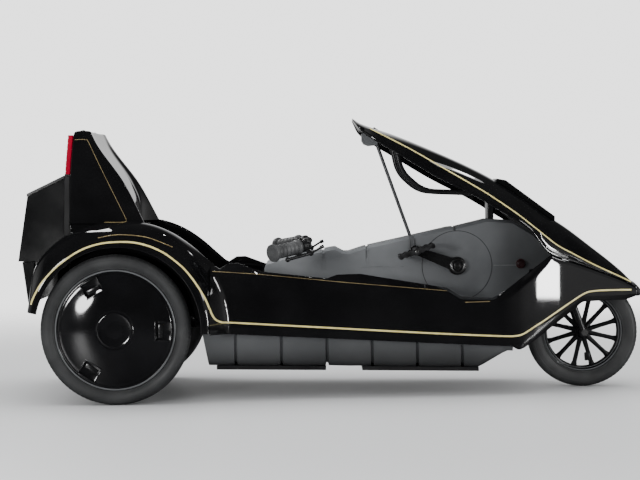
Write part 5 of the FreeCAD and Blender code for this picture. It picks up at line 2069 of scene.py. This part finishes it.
# -------------------- studio
@dataclass
class Studio:
    """Pale floor, soft lights and the camera."""

    camera_at: Spot = (-0.047, -5.040, 0.587)
    lens: float = 98.55
    pitch: float = 1.8
    roll: float = -0.637
    clip_end: float = 60.0
    # brightness of the surroundings: as the camera sees them, as light, and as the gloss mirrors them
    backdrop: float = 2.4
    fill: float = 0.9
    far_wall: float = 0.9
    dark_room: float = 0.02
    near_room: float = 0.035
    side_walls: float = 0.5
    floor_radius: float = 6.0
    floor_fade: Flat = (0.9, 4.6)
    floor_color: Spot = (0.80, 0.81, 0.82)
    floor_mirrored: Spot = (0.06, 0.06, 0.063)
    floor_roughness: float = 0.42
    floor_specular: float = 0.35
    top_watts: float = 130.0
    # name, place, what it looks at, size, radiance
    boxes: tuple[tuple[str, Spot, Spot, Flat, float], ...] = (
        ("front_box", (2.56, -1.878, 0.40), (0.60, -0.18, 0.33), (0.21, 0.60), 70.0),
        ("wheel_box", (-1.75, -3.13, 0.68), (-0.69, -0.35, 0.28), (0.56, 0.56), 34.0),
        ("ceiling_rear", (-1.60, 1.51, 2.70), (-0.645, -0.32, 0.476), (0.5, 2.4), 12.0),
        ("flare_glow", (1.82, -0.91, 1.13), (-0.34, -0.35, 0.26), (0.5, 0.5), 14.0),
        ("ceiling_middle", (0.26, 1.78, 2.43), (-0.48, -0.33, 0.43), (0.06, 0.06), 40.0),
        ("ceiling_front", (1.41, 2.16, 2.16), (0.34, -0.17, 0.62), (0.13, 0.15), 9.0),
        ("ceiling_halo", (1.43, 2.20, 2.20), (0.34, -0.17, 0.62), (0.27, 0.30), 1.3),
    )
    square_boxes: tuple[str, ...] = ("top_box", "front_box")
    lighting_boxes: tuple[str, ...] = ("wheel_box", "ceiling_middle")

    def build(self) -> None:
        """Sets up the floor, the lights, the surroundings and the camera."""
        self._floor()
        self._surroundings()
        self._lights()
        self._camera()

    def _floor(self) -> None:
        """Lays a large pale disc that fades out at its rim and looks darker where it is mirrored."""
        mesh = bpy.data.meshes.new("studio_floor")
        work = bmesh.new()
        bmesh.ops.create_circle(work, cap_ends=True, segments=96, radius=self.floor_radius)
        work.to_mesh(mesh)
        work.free()
        material = bpy.data.materials.new("pale_floor")
        material.use_nodes = True
        tree = material.node_tree
        shader = tree.nodes["Principled BSDF"]
        shader.inputs["Roughness"].default_value = self.floor_roughness
        shader.inputs["Specular IOR Level"].default_value = self.floor_specular
        place = tree.nodes.new("ShaderNodeTexCoord")
        reach = tree.nodes.new("ShaderNodeVectorMath")
        reach.operation = "LENGTH"
        tree.links.new(place.outputs["Object"], reach.inputs[0])
        fade = ramp(tree, reach.outputs["Value"], self.floor_fade, (1.0, 0.0), "SMOOTHERSTEP")
        tree.links.new(fade, shader.inputs["Alpha"])
        paths = tree.nodes.new("ShaderNodeLightPath")
        tone = blended(tree, paths.outputs["Is Glossy Ray"], self.floor_color, self.floor_mirrored)
        tree.links.new(tone, shader.inputs["Base Color"])
        mesh.materials.append(material)
        floor = add_object("studio_floor", mesh)

    def _surroundings(self) -> None:
        """Makes a white backdrop to look at, bright walls and a dark room to be mirrored, and even fill."""
        world = bpy.data.worlds.new("studio_air")
        bpy.context.scene.world = world
        world.use_nodes = True
        tree = world.node_tree
        tree.nodes["Background"].inputs["Strength"].default_value = 1.0
        place = tree.nodes.new("ShaderNodeTexCoord")
        split = tree.nodes.new("ShaderNodeSeparateXYZ")
        tree.links.new(place.outputs["Generated"], split.inputs["Vector"])
        x, y, z = split.outputs
        low = ramp(tree, z, (0.13, 0.30), (1.0, 0.0))
        far = ramp(tree, y, (0.92, 0.985), (0.0, 1.0))
        near = ramp(tree, y, (-0.6, -0.2), (self.near_room, self.dark_room))
        wall = self._math(tree, "MULTIPLY", low, far)
        white = self._math(tree, "MULTIPLY_ADD", wall, self.far_wall, near)
        away = self._math(tree, "ABSOLUTE", x)
        aside = ramp(tree, away, (0.45, 0.85), (0.0, self.side_walls))
        sunk = ramp(tree, z, (0.05, 0.45), (1.0, 0.0))
        room = self._math(tree, "MULTIPLY_ADD", aside, sunk, white)
        paths = tree.nodes.new("ShaderNodeLightPath")
        lit = self._choice(tree, paths.outputs["Is Glossy Ray"], self.fill, room)
        seen = self._choice(tree, paths.outputs["Is Camera Ray"], lit, self.backdrop)
        tree.links.new(seen, tree.nodes["Background"].inputs["Color"])

    def _feed(self, tree: bpy.types.NodeTree, socket: bpy.types.NodeSocket, value: Value) -> None:
        """Sets a socket to a number or links it to another socket.

        Args:
            tree: The nodes.
            socket: The socket to feed.
            value: The number or the other socket.
        """
        if isinstance(value, float):
            socket.default_value = value
        else:
            tree.links.new(value, socket)

    def _math(self, tree: bpy.types.NodeTree, operation: str, *values: Value) -> bpy.types.NodeSocket:
        """Adds a node that calculates.

        Args:
            tree: Where the node goes.
            operation: What it calculates.
            *values: Its inputs.

        Returns:
            The result.
        """
        node = tree.nodes.new("ShaderNodeMath")
        node.operation = operation
        for socket, value in zip(node.inputs, values):
            self._feed(tree, socket, value)
        return node.outputs["Value"]

    def _choice(self, tree: bpy.types.NodeTree, switch: bpy.types.NodeSocket, off: Value,
                on: Value) -> bpy.types.NodeSocket:
        """Adds a node that mixes two values.

        Args:
            tree: Where the node goes.
            switch: How far the result goes from off to on.
            off: The value at 0.
            on: The value at 1.

        Returns:
            The result.
        """
        mix = tree.nodes.new("ShaderNodeMix")
        mix.data_type = "FLOAT"
        for label, value in (("Factor", switch), ("A", off), ("B", on)):
            self._feed(tree, mix.inputs[label], value)
        return mix.outputs["Result"]

    def _lights(self) -> None:
        """Hangs a broad light, which the gloss doesn't mirror, and small bright boxes, which it does."""
        broad = self._softbox("top_box", (0.0, 0.2, 3.6), (0.0, 0.0, 0.2), (5.0, 3.4), self.top_watts)
        broad.visible_glossy = False
        for name, at, aim, size, radiance in self.boxes:
            box = self._softbox(name, at, aim, size, radiance * math.pi * size[0] * size[1])
            box.visible_diffuse = name in self.lighting_boxes

    def _softbox(self, name: str, at: Spot, aim: Spot, size: Flat, watts: float) -> bpy.types.Object:
        """Makes an area light that the camera doesn't see.

        Args:
            name: The light's name.
            at: Its place, in metres.
            aim: The point that it looks at, in metres.
            size: Its width and height, in metres.
            watts: Its power.

        Returns:
            The new light.
        """
        light = bpy.data.lights.new(name, "AREA")
        light.shape = "RECTANGLE" if name in self.square_boxes else "ELLIPSE"
        light.size, light.size_y = size
        light.energy = watts
        lamp = add_object(name, light)
        lamp.location = at
        lamp.rotation_euler = (Vector(aim) - Vector(at)).to_track_quat("-Z", "Y").to_euler()
        lamp.visible_camera = False
        return lamp

    def _camera(self) -> None:
        """Sets up a long lens on the car's right, almost level with the seat."""
        camera = bpy.data.cameras.new("camera")
        camera.lens = self.lens
        camera.clip_end = self.clip_end
        holder = add_object("camera", camera)
        pitch = Matrix.Rotation(math.radians(90 - self.pitch), 4, "X")
        roll = Matrix.Rotation(math.radians(self.roll), 4, "Z")
        holder.matrix_world = Matrix.Translation(self.camera_at) @ (pitch @ roll)
        bpy.context.scene.camera = holder


def main() -> None:
    """Builds every sub-assembly in order."""
    logging.basicConfig(level=logging.INFO, format="%(message)s")
    Studio().build()
    skins = [UpperBody().build(), Pod().build(), SeatTower().build()]
    skins += [Fender(side).build() for side in Side]
    LowerShell().build()
    Tunnel().build()
    for side in Side:
        RearWheel(side).build()
        hub = (REAR_AXLE[0], REAR_WHEEL_Y * side.value, REAR_AXLE[1])
        Tyre(f"tyre_rear_{side.word}", hub, 23.5, 163.3, REAR_AXLE[1]).build()
    FrontWheel().build()
    hub = (FRONT_AXLE[0], 0.0, FRONT_AXLE[1])
    Tyre("tyre_front", hub, 27.0, 113.3, FRONT_AXLE[1], cuts=76).build()
    Pedals().build()
    Handlebar().build()
    Fittings().build()
    Coachlines(skins).build()
    PlainNodes().build()


if __name__ == "__main__":
    main()
